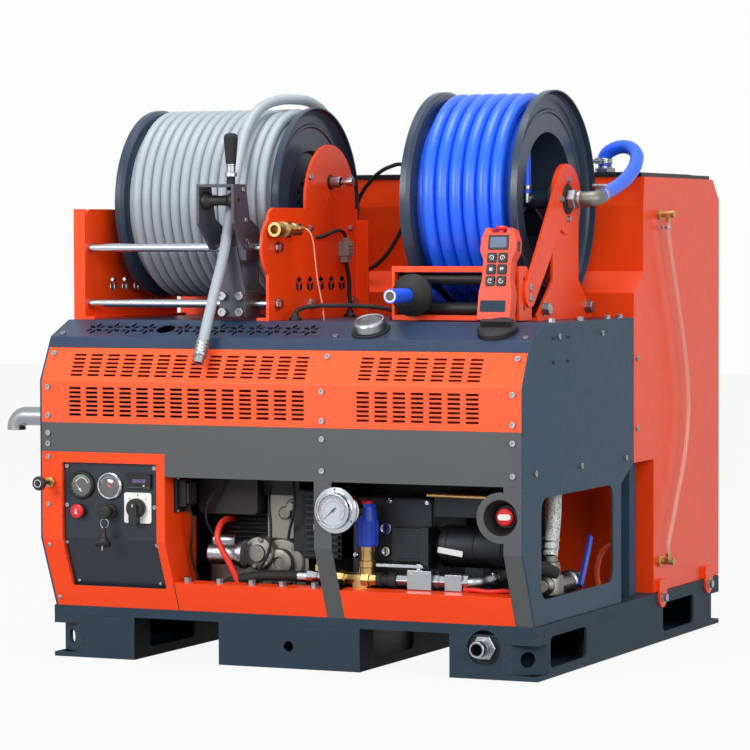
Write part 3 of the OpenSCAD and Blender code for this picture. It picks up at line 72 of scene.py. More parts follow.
class Shade:
    """An output of a shader node. Arithmetic on it adds Math nodes to the same tree."""

    def __init__(self, tree, socket=None):
        self.tree = tree
        self.socket = socket

    def node(self, kind, settings=None, sockets=None, output=0):
        """Adds any node: its settings first, then the values or links of its sockets."""
        made = self.tree.nodes.new(kind)
        for name, value in (settings or {}).items():
            setattr(made, name, value)
        for name, value in (sockets or {}).items():
            if isinstance(value, Shade):
                self.tree.links.new(value.socket, made.inputs[name])
            else:
                made.inputs[name].default_value = value
        return Shade(self.tree, made.outputs[output]) if made.outputs else None

    def math(self, operation, first, second=0.0):
        return self.node("ShaderNodeMath", {"operation": operation}, {0: first, 1: second})

    def __add__(self, other):
        return self.math("ADD", self, other)

    def __sub__(self, other):
        return self.math("SUBTRACT", self, other)

    def __rsub__(self, other):
        return self.math("SUBTRACT", other, self)

    def __mul__(self, other):
        return self.math("MULTIPLY", self, other)

    def __gt__(self, other):
        return self.math("GREATER_THAN", self, other)

    def __lt__(self, other):
        return self.math("LESS_THAN", self, other)

    __radd__ = __add__
    __rmul__ = __mul__


def tint(color):
    """A colour written as it looks on a screen, 0 to 255, as the linear colour that shaders use."""
    return tuple((c / 255 / 12.92) if c < 10 else ((c / 255 + 0.055) / 1.055) ** 2.4 for c in color)


def scaled(color, factor):
    return tuple(min(c * factor, 1) for c in color)


def towards(color, goal, share):
    """A colour that has gone a share of its way to an even grey."""
    return tuple(c + share * (goal - c) for c in color)


def new_material(name):
    material = bpy.data.materials.new(name)
    material.use_nodes = True
    material.node_tree.nodes.clear()
    return material, Shade(material.node_tree)


def object_place(shade):
    return shade.node("ShaderNodeTexCoord", output="Object")


def part_of(shade, vector, axis=0):
    """One coordinate of a vector."""
    return shade.node("ShaderNodeSeparateXYZ", None, {0: vector}, axis)


def noise(shade, scale, detail=3.0):
    """Noise on Object coordinates, scaled per metre."""
    sockets = {"Vector": object_place(shade), "Scale": scale, "Detail": detail}
    return shade.node("ShaderNodeTexNoise", None, sockets)


def mix(shade, factor, first, second):
    """Mixes two colours, each a Shade or a linear colour."""
    first = first if isinstance(first, Shade) else (*first, 1.0)
    second = second if isinstance(second, Shade) else (*second, 1.0)
    return shade.node("ShaderNodeMix", {"data_type": "RGBA"}, {"Factor": factor, 6: first, 7: second}, 2)


def close(material, shade, sockets):
    """Adds the shader and the output, which every finish ends with."""
    shader = shade.node("ShaderNodeBsdfPrincipled", None, sockets)
    shade.node("ShaderNodeOutputMaterial", None, {"Surface": shader})
    return material


def relief(shade, height, distance, edge=0.0):
    """A bump of that depth in metres, on edges that are rounded by the light alone."""
    sockets = {"Height": height, "Distance": distance, "Strength": 1.0}
    if edge:
        sockets["Normal"] = shade.node("ShaderNodeBevel", {"samples": 4}, {"Radius": edge})
    return shade.node("ShaderNodeBump", None, sockets)


def flat_normal(shade):
    return shade.node("ShaderNodeNewGeometry", output="True Normal")


def worn_edges(shade, radius):
    """A mask that is 1 where the surface turns over an edge within that radius."""
    rounded_normal = shade.node("ShaderNodeBevel", {"samples": 4}, {"Radius": radius})
    sockets = {0: rounded_normal, 1: flat_normal(shade)}
    return shade.node("ShaderNodeVectorMath", {"operation": "DOT_PRODUCT"}, sockets, 1) < 0.985


def facing_x(shade):
    """1 on faces that look straight along X, down to 0 on those that look across it."""
    return shade.math("ABSOLUTE", part_of(shade, flat_normal(shade)))


def slot_shade_mask(shade, low, high):
    """A mask for the painted shade in slots: 1 inside a box, in millimetres, on faces that don't face along
    X.
    """
    mask = facing_x(shade) < 0.5
    for axis in range(3):
        along = part_of(shade, object_place(shade), axis)
        mask = mask * (along > low[axis] * MM) * (along < high[axis] * MM)
    return mask


def inner_wall_shade_mask(shade, reach):
    """A mask for painted shade on inner walls: 1 on faces that face along X, nearer to the middle than
    reach, in millimetres.
    """
    off_middle = shade.math("ABSOLUTE", part_of(shade, object_place(shade)))
    return (facing_x(shade) > 0.9) * (off_middle < reach * MM)


def paint(name, color, roughness=0.36, spread=0.07, chips=0.35, shine=0.3, slot_shade_box=None, inner=None):
    """Powder coat: a fine orange peel, faint clouding and edges rubbed lighter.

    slot_shade_box is a box, low and high corner, in which faces that don't face X, the walls of slots, are
    painted dark as shade.
    inner is the distance from the middle within which walls that face X are painted near black as shade.
    """
    edge = 0.0012
    material, shade = new_material(name)
    base = tint(color)
    cloud, peel, grime = noise(shade, 5.0, 4.0), noise(shade, 700.0, 2.0), noise(shade, 38.0, 6.0)
    color_now = mix(shade, cloud, scaled(base, 1 - spread), scaled(base, 1 + spread))
    rub = worn_edges(shade, edge) * (noise(shade, 160.0) > 0.52) * chips
    color_now = mix(shade, rub, color_now, towards(base, 0.9, 0.35))
    # Painted shade: inside the box, slot walls turn dark brown, standing for the shadow inside the slots
    if slot_shade_box:
        color_now = mix(shade, slot_shade_mask(shade, *slot_shade_box), color_now, tint((26, 14, 12)))
    # Painted shade: walls that face X near the middle turn near black, standing for the shadow deep under
    # the object
    if inner:
        color_now = mix(shade, inner_wall_shade_mask(shade, inner), color_now, tint((9, 11, 14)))
    return close(material, shade, {
        "Base Color": color_now,
        "Roughness": roughness + (grime - 0.5) * 0.16,
        "Specular IOR Level": shine,
        "Normal": relief(shade, peel, 0.00006, edge),
    })


def plastic(name, color, roughness=0.5, grain=1400.0, depth=0.00004):
    """Moulded plastic or rubber with a fine grain and a trace of dust."""
    material, shade = new_material(name)
    base = tint(color)
    dust = noise(shade, 22.0, 5.0)
    return close(material, shade, {
        "Base Color": mix(shade, dust * 0.25, base, towards(base, 0.8, 0.05)),
        "Roughness": roughness + (dust - 0.5) * 0.14,
        "Specular IOR Level": 0.35,
        "Normal": relief(shade, noise(shade, grain, 2.0), depth, edge=0.0008),
    })


def metal(name, color, roughness=0.28, scale=260.0, depth=0.00002, spread=0.12):
    """Bare or plated metal, with a fine or cast grain and patches of duller surface."""
    material, shade = new_material(name)
    base = tint(color)
    grain, patch = noise(shade, scale, 4.0), noise(shade, 30.0, 5.0)
    return close(material, shade, {
        "Base Color": mix(shade, grain, scaled(base, 1 - spread), base),
        "Metallic": 1.0,
        "Roughness": roughness + (patch - 0.5) * 0.18,
        "Normal": relief(shade, grain, depth, edge=0.0006),
    })


def hose_cover(name, color, axle, roughness=0.45, wraps=110.0, depth=0.00012):
    """Hose cover: fine marks of the cloth it was cured in, across the hose on a winding round an axle."""
    material, shade = new_material(name)
    base = tint(color)
    to_axle = {"Vector": object_place(shade), "Location": (0, -axle[0] * MM, -axle[1] * MM)}
    centred = shade.node("ShaderNodeMapping", None, to_axle)
    around = shade.math("ARCTAN2", part_of(shade, centred, 1), part_of(shade, centred, 2))
    marks = shade.math("SINE", around * wraps)
    soil, cloth = noise(shade, 16.0, 6.0), noise(shade, 900.0, 2.0)
    return close(material, shade, {
        "Base Color": mix(shade, soil * 0.5, base, scaled(base, 0.86)),
        "Roughness": roughness + (soil - 0.5) * 0.15,
        "Normal": relief(shade, marks * 0.3 + cloth, depth),
    })


def braided(name, color):
    """Milky hose with a speckled braid inside its wall."""
    material, shade = new_material(name)
    cells = shade.node("ShaderNodeTexVoronoi", None, {"Vector": object_place(shade), "Scale": 230.0})
    fleck = noise(shade, 210.0, 2.0)
    weave = (cells < 0.42) * (fleck > 0.44)
    return close(material, shade, {
        "Base Color": mix(shade, weave * 0.8, tint(color), tint((84, 92, 100))),
        "Roughness": 0.26 + fleck * 0.2,
        "Normal": relief(shade, cells, 0.0003),
        "Coat Weight": 0.3,
    })


def clear_plastic(name, color):
    """Clear tube: see-through with a faint tint and cloudy spots."""
    material, shade = new_material(name)
    return close(material, shade, {
        "Base Color": (*tint(color), 1.0),
        "Roughness": 0.12 + noise(shade, 60.0, 4.0) * 0.12,
        "Transmission Weight": 0.45,
        "IOR": 1.4,
    })


def glass(name):
    """Thin flat glass over a dial."""
    material, shade = new_material(name)
    smear = noise(shade, 40.0)
    return close(material, shade, {
        "Base Color": (1, 1, 1, 1),
        "Roughness": 0.02 + smear * 0.03,
        "Alpha": 0.04 + smear * 0.02,
    })


LOOK = {
    "orange": paint("orange_paint", (243, 68, 14)),
    # A paler copy of the orange paint: a painted sheen standing for the light that the grille panel's tilted
    # face catches
    "grille": paint("grille_paint", (244, 82, 34), shine=0.4),
    # The stands' slots get painted shade on their walls
    "stand": paint("stand_paint", (243, 68, 14), slot_shade_box=((-700, -400, 760), (0, -90, 830))),
    "slate": paint("slate_paint", (50, 63, 75), spread=0.05, chips=0.2, shine=0.02),
    # The runners' inner walls get a near-black painted shade
    "runner": paint("runner_paint", (50, 63, 75), spread=0.05, chips=0.2, shine=0.02, inner=520),
    "side": paint("side_paint", (48, 71, 90), spread=0.05, chips=0.2, shine=0.06),
    "deck": paint("deck_paint", (38, 55, 79), spread=0.05, chips=0.2),
    "grey": paint("grey_paint", (77, 79, 80), spread=0.04, chips=0.2),
    "panel": paint("panel_paint", (37, 44, 52), spread=0.04),
    "black": paint("black_paint", (48, 60, 78), roughness=0.3, chips=0.2),
    "purple": paint("carriage_paint", (70, 70, 80), roughness=0.42),
    "plastic": plastic("black_plastic", (17, 17, 19)),
    "rubber": plastic("black_rubber", (20, 20, 22), roughness=0.7, grain=600.0, depth=0.0001),
    "red": plastic("red_plastic", (206, 20, 34), roughness=0.3),
    "blue": plastic("blue_plastic", (22, 60, 176), roughness=0.35),
    "remote": plastic("remote_plastic", (226, 62, 26), roughness=0.46, grain=1000.0),
    "white": plastic("white_plastic", (226, 226, 222), roughness=0.4),
    "zinc": metal("zinc_steel", (158, 161, 166), roughness=0.34),
    "chrome": metal("chrome_steel", (190, 195, 202), roughness=0.16, spread=0.04, depth=0.000004),
    "cast": metal("cast_aluminium", (126, 124, 118), roughness=0.46, scale=420.0, depth=0.00018),
    "iron": metal("dark_casting", (52, 53, 56), roughness=0.55, scale=380.0, depth=0.00018),
    "brass": metal("brass", (188, 156, 100), roughness=0.36),
    "plug": plastic("grey_plastic", (136, 133, 130)),
    "grey_hose": hose_cover("grey_hose", (158, 166, 174), MAIN_AXLE),
    "blue_hose": hose_cover("blue_hose", (26, 96, 238), SUPPLY_AXLE, 0.34, wraps=60.0, depth=0.00005),
    "red_hose": plastic("red_hose", (216, 44, 28), roughness=0.4),
    # Paler than the red hose: partly the return tube's own orange, partly painted light that makes up for
    # the shade of the bay it lies in
    "return_hose": plastic("return_hose", (240, 92, 54), roughness=0.4),
    "braid": braided("braided_hose", (196, 197, 190)),
    "green": plastic("green_print", (60, 150, 80), roughness=0.4),
    "violet": plastic("violet_digits", (176, 140, 214), roughness=0.4),
    "screen": plastic("remote_display", (66, 86, 120), roughness=0.4),
    "pale_dial": plastic("pale_dial", (170, 178, 190)),
    "dark_dial": plastic("dark_dial", (16, 18, 20)),
    "clear": clear_plastic("clear_hose", (246, 186, 170)),
    "glass": glass("dial_glass"),
}
# The frame's slot for each finish, which place_piece looks up where the piece names no other
SLOT = {
    "orange": "orange_paint", "plastic": "black_plastic", "plug": "black_plastic", "white": "black_plastic",
    "rubber": "black_rubber", "red": "red_plastic", "blue": "blue_plastic", "zinc": "zinc_steel",
    "chrome": "zinc_steel", "cast": "zinc_steel", "iron": "cast_metal", "brass": "brass_metal",
    "grey_hose": "grey_hose", "blue_hose": "blue_hose", "red_hose": "red_plastic",
    "return_hose": "red_plastic", "braid": "clear_hose", "clear": "clear_hose", "glass": "clear_hose",
}
OF_LOOK = "the slot of the look"


# Mesh tools


def shift(*by):
    return Matrix.Translation(by)


def about(axis, degrees):
    return Matrix.Rotation(math.radians(degrees), 4, axis)


def turn_to(at, axis):
    """The matrix that takes Z to an axis and the origin to a place."""
    return shift(*at) @ Vector(axis).to_track_quat("Z", "Y").to_matrix().to_4x4()


def facing(at, out=0, turn=0):
    """A place that stands out of a front face, with its own axes right, up and towards the viewer."""
    return shift(at[0], at[1] - out, at[2]) @ FRONT_AXES @ about("Z", turn)


def fresh(bm, old):
    """The vertices of a mesh that a step has added to those it had."""
    return [vert for vert in bm.verts if vert not in old]


def put(bm, place, verts):
    bmesh.ops.transform(bm, matrix=place, verts=verts)
    return verts


def placed(bm, place, tool, *arguments):
    """Uses another mesh tool in a place's own axes."""
    return put(bm, place, tool(bm, *arguments))


def block(bm, low, high):
    low, high = Vector(low), Vector(high)
    matrix = shift(*(low + high) / 2) @ Matrix.Diagonal((*(high - low), 1))
    return bmesh.ops.create_cube(bm, size=1, matrix=matrix)["verts"]


def rod(bm, start, end, radius, sides=32, radius_end=None):
    start, end = Vector(start), Vector(end)
    return bmesh.ops.create_cone(
        bm, cap_ends=True, segments=sides, radius1=radius,
        radius2=radius if radius_end is None else radius_end,
        depth=(end - start).length, matrix=turn_to((start + end) / 2, end - start),
    )["verts"]


def spun(bm, old, line, edges, at, axis, steps):
    """Spins a line round Z, then takes Z to an axis through a place."""
    bmesh.ops.spin(bm, geom=line + edges, cent=ORIGIN, axis=Z, angle=math.tau, steps=steps, use_merge=True)
    return put(bm, turn_to(at, axis), fresh(bm, old))


def turned(bm, profile, at=ORIGIN, axis=Z, steps=48):
    """Spins a profile of (radius, height) points round an axis through a place."""
    old = set(bm.verts)
    line = [bm.verts.new((r, 0, h)) for r, h in profile]
    edges = [bm.edges.new(pair) for pair in zip(line, line[1:])]
    return spun(bm, old, line, edges, at, axis, steps)


def ring(bm, at, axis, radius, wire, steps=40, sides=12):
    """A round wire bent to a ring."""
    old = set(bm.verts)
    upright = shift(radius, 0, 0) @ about("X", 90)
    loop = bmesh.ops.create_circle(bm, segments=sides, radius=wire, matrix=upright)["verts"]
    edges = list({edge for vert in loop for edge in vert.link_edges})
    return spun(bm, old, loop, edges, at, axis, steps)


def disc(radius, low, high):
    """The profile of a plain disc."""
    return [(0, low), (radius, low), (radius, high), (0, high)]


def capped(radius, straight, top, height, low=0):
    """The profile of a disc or a nut with a chamfered top."""
    return [(0, low), (radius, low), (radius, straight), (top, height), (0, height)]


def collar(bore, radius, straight, top, height, low=0):
    """The profile of a ring with a chamfered top."""
    return [(bore, low), (radius, low), (radius, straight), (top, height), (bore, height), (bore, low)]


def cut(bm, place, outline, low, high):
    """A flat outline in a place's own axes, solid between two heights."""
    old = set(bm.verts)
    face = bm.faces.new([bm.verts.new((a, b, low)) for a, b in outline])
    side = bmesh.ops.extrude_face_region(bm, geom=[face])["geom"]
    tops = [item for item in side if isinstance(item, bmesh.types.BMVert)]
    bmesh.ops.translate(bm, vec=(0, 0, high - low), verts=tops)
    return put(bm, place, fresh(bm, old))


def arc(bm, place, inner, outer, first, last, low, high):
    """A flat arc between two radii, two angles and two heights in a place's own axes."""
    old = set(bm.verts)
    corners = ((inner, low), (outer, low), (outer, high), (inner, high))
    a = math.radians(first)
    face = bm.faces.new([bm.verts.new((r * math.cos(a), r * math.sin(a), h)) for r, h in corners])
    bmesh.ops.spin(
        bm, geom=[face, *face.edges, *face.verts], cent=ORIGIN, axis=Z,
        angle=math.radians(last - first), steps=24,
    )
    return put(bm, place, fresh(bm, old))


def rounded(width, height, radius, steps=5):
    """The outline of a rectangle with round corners, about its middle."""
    points = []
    for corner, (sx, sy) in enumerate(((1, 1), (-1, 1), (-1, -1), (1, -1))):
        for i in range(steps + 1):
            a = math.radians(90 * (corner + i / steps))
            points.append((
                sx * (width / 2 - radius) + radius * math.cos(a),
                sy * (height / 2 - radius) + radius * math.sin(a),
            ))
    return points


def bolt(bm, at, axis, across, height, washer=True):
    """A hex head with its chamfered top, on a washer."""
    axis, at = Vector(axis).normalized(), Vector(at)
    if washer:
        rod(bm, at, at + axis * 2.5, across * 0.85, 28)
        at = at + axis * 2.5
    rod(bm, at, at + axis * height * 0.8, across * 0.577, 6)
    rod(bm, at + axis * height * 0.8, at + axis * height, across * 0.577, 6, across * 0.46)


def seated_bolt(bm, at, axis, washer, head):
    """A hex head and its round washer, both as profiles."""
    turned(bm, washer, at, axis, 32)
    turned(bm, head, at, axis, 6)


def small_screw(bm, at, axis, radius=4.8):
    """A button-head screw."""
    turned(bm, [
        (0, 1.6), (radius * 0.42, 1.6), (radius * 0.46, 3), (radius * 0.75, 2.6), (radius, 1.2), (radius, 0),
        (0, 0),
    ], at, axis, 20)


def place_piece(piece, look, body="chassis", slot=OF_LOOK, replaces=()):
    piece.data.materials.append(LOOK[look])
    bpy.context.scene.collection.objects.link(piece)
    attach(piece, body)
    slot = SLOT.get(look) if slot == OF_LOOK else slot
    if replaces:
        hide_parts(*replaces)
    return piece


def finish_piece(name, bm, look, bevel=0.0, **settings):
    """Makes a bmesh in millimetres a piece that rides on a body."""
    bmesh.ops.remove_doubles(bm, verts=bm.verts, dist=0.001)
    bmesh.ops.recalc_face_normals(bm, faces=bm.faces)
    bmesh.ops.scale(bm, vec=(MM, MM, MM), verts=bm.verts)
    mesh = bpy.data.meshes.new(name)
    bm.to_mesh(mesh)
    bm.free()
    for polygon in mesh.polygons:
        polygon.use_smooth = True
    mesh.set_sharp_from_angle(angle=math.radians(35))
    piece = bpy.data.objects.new(name, mesh)
    if bevel:
        rounding = piece.modifiers.new("edges", "BEVEL")
        rounding.width = bevel * MM
        rounding.segments = 2
        rounding.limit_method = "ANGLE"
        rounding.harden_normals = True
    return place_piece(piece, look, **settings)


def shape(name, look, *parts, **settings):
    """Makes a piece of parts, each a mesh tool with its arguments."""
    bm = bmesh.new()
    for tool, *arguments in parts:
        tool(bm, *arguments)
    return finish_piece(name, bm, look, **settings)


def hose(name, points, diameter, look, smooth=True, **settings):
    """A round hose or cable along its route's points, as one curve."""
    curve = bpy.data.curves.new(name, "CURVE")
    curve.dimensions = "3D"
    curve.bevel_depth = diameter / 2 * MM
    curve.bevel_resolution = 6
    curve.resolution_u = 10
    curve.use_fill_caps = True
    spline = curve.splines.new("BEZIER" if smooth else "POLY")
    marks = spline.bezier_points if smooth else spline.points
    marks.add(len(points) - 1)
    for mark, point in zip(marks, points):
        place = [c * MM for c in point]
        mark.co = place if smooth else (*place, 1)
        if smooth:
            mark.handle_left_type = mark.handle_right_type = "AUTO"
    spline.use_smooth = True
    return place_piece(bpy.data.objects.new(name, curve), look, **settings)


def wrap(axle, radius, degrees, x):
    """A place on a wrap round an axle, in degrees from the top towards the front."""
    a = math.radians(degrees)
    return (x, axle[0] - radius * math.sin(a), axle[1] + radius * math.cos(a))


def clamp(name, at, axis, radius, width=12, body="chassis", twist=0.0):
    """A worm-drive hose clamp: its band, housing and screw."""
    place = turn_to(at, axis) @ about("Z", twist)
    h, screw_x = width / 2, radius + 5
    band = ((0, -h), (0.4, -h), (1.2, 1 - h), (1.2, h - 1), (0.4, h), (0, h))
    shape(
        name, "zinc",
        (placed, place, turned, [(radius + r, z) for r, z in band]),
        (placed, place, block, (radius + 0.6, -8, -h - 0.6), (radius + 7.5, 8, h + 0.6)),
        (placed, place, rod, (screw_x, -14, 0), (screw_x, 12, 0), 3.2, 20),
        (placed, place, rod, (screw_x, -19, 0), (screw_x, -13, 0), 4.6, 6),
        body=body, bevel=0.4,
    )


# Camera, floor and light, set as in the studio photograph


def camera():
    yaw, pitch, roll = (math.radians(a) for a in (24.35, 2.33, -0.18))
    ahead = Vector((-math.sin(yaw) * math.cos(pitch), math.cos(yaw) * math.cos(pitch), -math.sin(pitch)))
    level = Vector((math.cos(yaw), math.sin(yaw), 0))
    up = level.cross(ahead)
    right = level * math.cos(roll) + up * math.sin(roll)
    top = up * math.cos(roll) - level * math.sin(roll)
    data = bpy.data.cameras.new("camera")
    data.lens = 160.3
    data.sensor_width = 36
    data.clip_end = 60
    view = bpy.data.objects.new("camera", data)
    view.matrix_world = shift(3.0049, -6.7684, 0.8884) @ Matrix((right, top, -ahead)).transposed().to_4x4()
    bpy.context.scene.collection.objects.link(view)
    bpy.context.scene.camera = view


def seen_as_white(shade):
    """1 for rays that should find the plain white studio: camera, mirror and glass rays."""
    rays = shade.node("ShaderNodeLightPath", output="Is Camera Ray")
    path = rays.socket.node.outputs
    seen = shade.math("MAXIMUM", rays, Shade(shade.tree, path["Is Glossy Ray"]))
    return shade.math("MAXIMUM", seen, Shade(shade.tree, path["Is Transmission Ray"]))


def studio():
    scene = bpy.context.scene
    scene.view_settings.view_transform = "Standard"
    world = bpy.data.worlds.new("studio")
    scene.world = world
    world.use_nodes = True
    world.node_tree.nodes.clear()
    shade = Shade(world.node_tree)
    strength = seen_as_white(shade) * 0.48 + 0.5
    sky = shade.node("ShaderNodeBackground", None, {"Color": (1, 1, 1, 1), "Strength": strength})
    shade.node("ShaderNodeOutputWorld", None, {"Surface": sky})

    bm = bmesh.new()
    bmesh.ops.create_grid(bm, x_segments=1, y_segments=1, size=14)
    mesh = bpy.data.meshes.new("floor")
    bm.to_mesh(mesh)
    bm.free()
    floor = bpy.data.objects.new("floor", mesh)
    floor.location.z = -0.001
    material, shade = new_material("studio_floor")
    lit = shade.node("ShaderNodeBsdfDiffuse", None, {"Color": (0.36, 0.36, 0.37, 1)})
    white = shade.node("ShaderNodeEmission", None, {"Color": (1, 1, 1, 1), "Strength": 1.0})
    both = shade.node("ShaderNodeMixShader", None, {0: seen_as_white(shade) * 0.93, 1: lit, 2: white})
    shade.node("ShaderNodeOutputMaterial", None, {"Surface": both})
    mesh.materials.append(material)
    scene.collection.objects.link(floor)

    # Each lamp's place and size in metres, and its power
    lamps = {
        "key": ((-1.8, -5.4, 2.6), 2.6, 196),
        "fill": ((2.7, -4.8, 2.4), 2.0, 62),
        "side": ((4.8, -2.6, 1.8), 2.4, 80),
        "top": ((0.2, -0.6, 4.6), 2.6, 112),
    }
    aim = Vector((0, 0, 0.55))
    for name, (place, size, power) in lamps.items():
        data = bpy.data.lights.new(name, "AREA")
        data.shape = "DISK"
        data.size = size
        data.energy = power
        lamp = bpy.data.objects.new(name, data)
        lamp.matrix_world = turn_to(place, Vector(place) - aim)
        scene.collection.objects.link(lamp)


# Hoses and cables, along the routes that the solids follow

MAIN_ROUTE = [
    (-150, -200, 1192), (-178, -258, 1187), (-192, -318, 1162), (-193, -370, 1118), (-186, -414, 1064),
    (-177, -452, 1014), (-170, -480, 966), (-168, -502, 915), (-167, -530, 850), (-167, -566, 785),
    (-167, -598, 725), (-167, -622, 678),
]
SUPPLY_ROUTE = [
    (226, -332, 766), (232, -372, 771.4), (237, -415, 772.6), (238, -440, 772.6), (238, -480, 772.6),
    (238, -530, 772.6), (238, -580, 772.6),
]
FEED_ROUTE = [
    (530, -149.5, 976.5), (530, -102.5, 986.5), (533, -40, 1002), (535, 20, 1024), (532, 70, 1050),
    (518, 108, 1074), (490, 128, 1088), (458, 132, 1084), (438, 132, 1068), (438, 132, 1046.3),
]
SIGHT_ROUTE = [(573, y, z) for y, z in (
    (165, 925.7), (165, 912), (172, 880), (197, 820), (232, 740), (262, 670), (286, 600), (298, 540),
    (298, 490), (284, 430), (256, 370), (220, 310), (186, 250), (168, 224), (165, 207), (165, 193.3),
)]
SUCTION_ROUTE = [(505, y, z) for y, z in (
    (8, 478), (-30, 478), (-90, 486), (-150, 500), (-210, 506), (-268, 494), (-312, 462), (-338, 415),
    (-346, 365), (-350, 318), (-360, 275), (-370, 236),
)]
PLUG_ROUTE = [
    (-62, -146, 846), (-62, -138, 826), (-62, -128, 800), (-62, -126, 770), (-60, -127, 745),
    (-60, -127, 732), (-60, -127, 718.3),
]
DECK_ROUTE = [
    (-40, -446, 718.3), (-40, -446, 732), (-30, -442, 742), (-6, -426, 748), (30, -408, 749),
    (80, -384, 748), (118, -362, 744), (140, -350, 738), (148, -347, 730), (148, -347, 718.3),
]
STAND_ROUTE = [
    (-72, -276, 892), (-62, -268, 894), (-57, -250, 899), (-55, -222, 905), (-56, -190, 908),
    (-59, -164, 904), (-61, -150, 896), (-61, -145, 888),
]
REEL_ROUTE = [
    (-108, 58, 800), (-100, 42, 812), (-88, 32, 820), (-64, 30, 834), (-39, 30, 859), (-20, 30, 886),
    (-5, 30, 912), (12, 30, 945), (24, 30, 980), (27, 30, 1012), (18, 30, 1040), (-5, 30, 1054),
    (-34, 30, 1049), (-60, 32, 1037), (-86, 38, 1017), (-110, 48, 993), (-126, 58, 968), (-131, 69, 948),
]
LOOP_ROUTE = [
    (40, 67.7, 905), (40, 44, 908), (38, 20, 930), (44, 4, 970), (62, -8, 1004), (88, -12, 1018),
    (112, -4, 1004), (124, 14, 968), (126, 40, 944), (126, 67.7, 940),
]


def winding(reel, axle, left, width, radius, pitch, turns, diameter, look):
    """The outer layer of hose on a drum, with its ends straight for one diameter."""
    first, steps = 225, 48
    x0 = left + (width - turns * pitch) / 2
    path = [
        Vector(wrap(axle, radius, first + 360 * i / steps, x0 + pitch * i / steps))
        for i in range(turns * steps + 1)
    ]
    start = path[0] + (path[0] - path[1]).normalized() * diameter
    end = path[-1] + (path[-1] - path[-2]).normalized() * diameter
    hose(
        f"{reel}_hose", [start, *path, end], diameter, look, smooth=False, body=f"{reel}_reel",
        replaces=[f"{reel}_hose_winding"],
    )


def inner_layer(reel, axle, left, width, radius, look):
    """The hose that shows between the turns of a winding, as a plain sleeve below it."""
    bore, low, high = radius - 30, 0.5, width - 0.5
    sleeve = [(bore, low), (radius, low), (radius, high), (bore, high)]
    shape(f"{reel}_inner_layer", look, (turned, sleeve, (left, *axle), X, 96), body=f"{reel}_reel")


def reels():
    main, supply = (MAIN_AXLE, MAIN_LEFT, MAIN_WIDTH), (SUPPLY_AXLE, SUPPLY_LEFT, SUPPLY_WIDTH)
    winding("main", *main, MAIN_WIND_R, MAIN_PITCH, MAIN_TURNS, MAIN_HOSE, "grey_hose")
    winding("supply", *supply, SUPPLY_WIND_R, SUPPLY_PITCH, SUPPLY_TURNS, SUPPLY_HOSE, "blue_hose")
    inner_layer("main", *main, MAIN_WIND_R - 12.3, "grey_hose")
    inner_layer("supply", *supply, SUPPLY_WIND_R - 16.2, "blue_hose")


def tails():
    """The free ends of both hoses."""
    main_right = MAIN_LEFT + MAIN_WIDTH
    path = [wrap(MAIN_AXLE, MAIN_TAIL_R, a, main_right - 0.6 * MAIN_HOSE) for a in range(-180, -29, 15)]
    path.append(wrap(MAIN_AXLE, MAIN_TAIL_R + 1, -14, main_right - 0.75 * MAIN_HOSE))
    path += MAIN_ROUTE
    tail = hose(
        "main_hose_tail_cover", path, MAIN_HOSE, "grey_hose", body="carriage", replaces=["main_hose_tail"]
    )
    [c * MM for c in path[0]]
    path = [
        wrap(SUPPLY_AXLE, SUPPLY_TAIL_R, a, SUPPLY_LEFT + SUPPLY_HOSE / 2 + 1) for a in (156, 150)
    ] + SUPPLY_ROUTE
    tail = hose("supply_hose_tail_cover", path, SUPPLY_HOSE, "blue_hose", replaces=["supply_hose_tail"])
    end = path[-1]
    lining = shape("supply_hose_lining", "white", (turned, disc(12.6, 0, 0.5), end, FRONT), slot="blue_hose")
    bore = shape("supply_hose_bore", "grey", (turned, disc(9.6, 0.4, 0.8), end, FRONT), slot="blue_hose")
    [c * MM for c in path[0]]


def held_lines():
    """Hoses and cables that the object holds at both ends."""
    hose("feed_hose_cover", FEED_ROUTE, SUPPLY_HOSE, "blue_hose", replaces=["feed_hose"])
    hose("sight_tube_wall", SIGHT_ROUTE, 10, "clear", replaces=["sight_tube"])
    hose("plug_lead", PLUG_ROUTE, 9, "rubber", replaces=["wiring"])
    shape(
        "plug", "plug",
        (block, (-72, -160, 852), (-50, -130, 884)),
        (block, (-70, -156, 838), (-54, -134, 852)),
        *((block, (-50, -158, z), (-48.6, -132, z + 3)) for z in (858, 866, 874)),
        (block, (-66, -152, 884), (-56, -138, 892)),
        bevel=1.5,
    )
    hose("deck_lead", DECK_ROUTE, 9, "rubber")
    hose("loop_lead", LOOP_ROUTE, 9, "rubber")
    hose("stand_lead", STAND_ROUTE, 8, "rubber")
    hose("reel_lead", REEL_ROUTE, 9, "rubber")
    gland = [(4.6, 0), (13, 0), (13, 6), (11, 8), (8, 9), (7, 15), (4.6, 15), (4.6, 0)]
    shape("cable_glands", "plastic", *(
        (turned, gland, (x, y, DECK_Z + 0.1), Z, 24) for x, y in ((-40, -446), (148, -347), (-60, -127))
    ))


# Instruments of the front panel


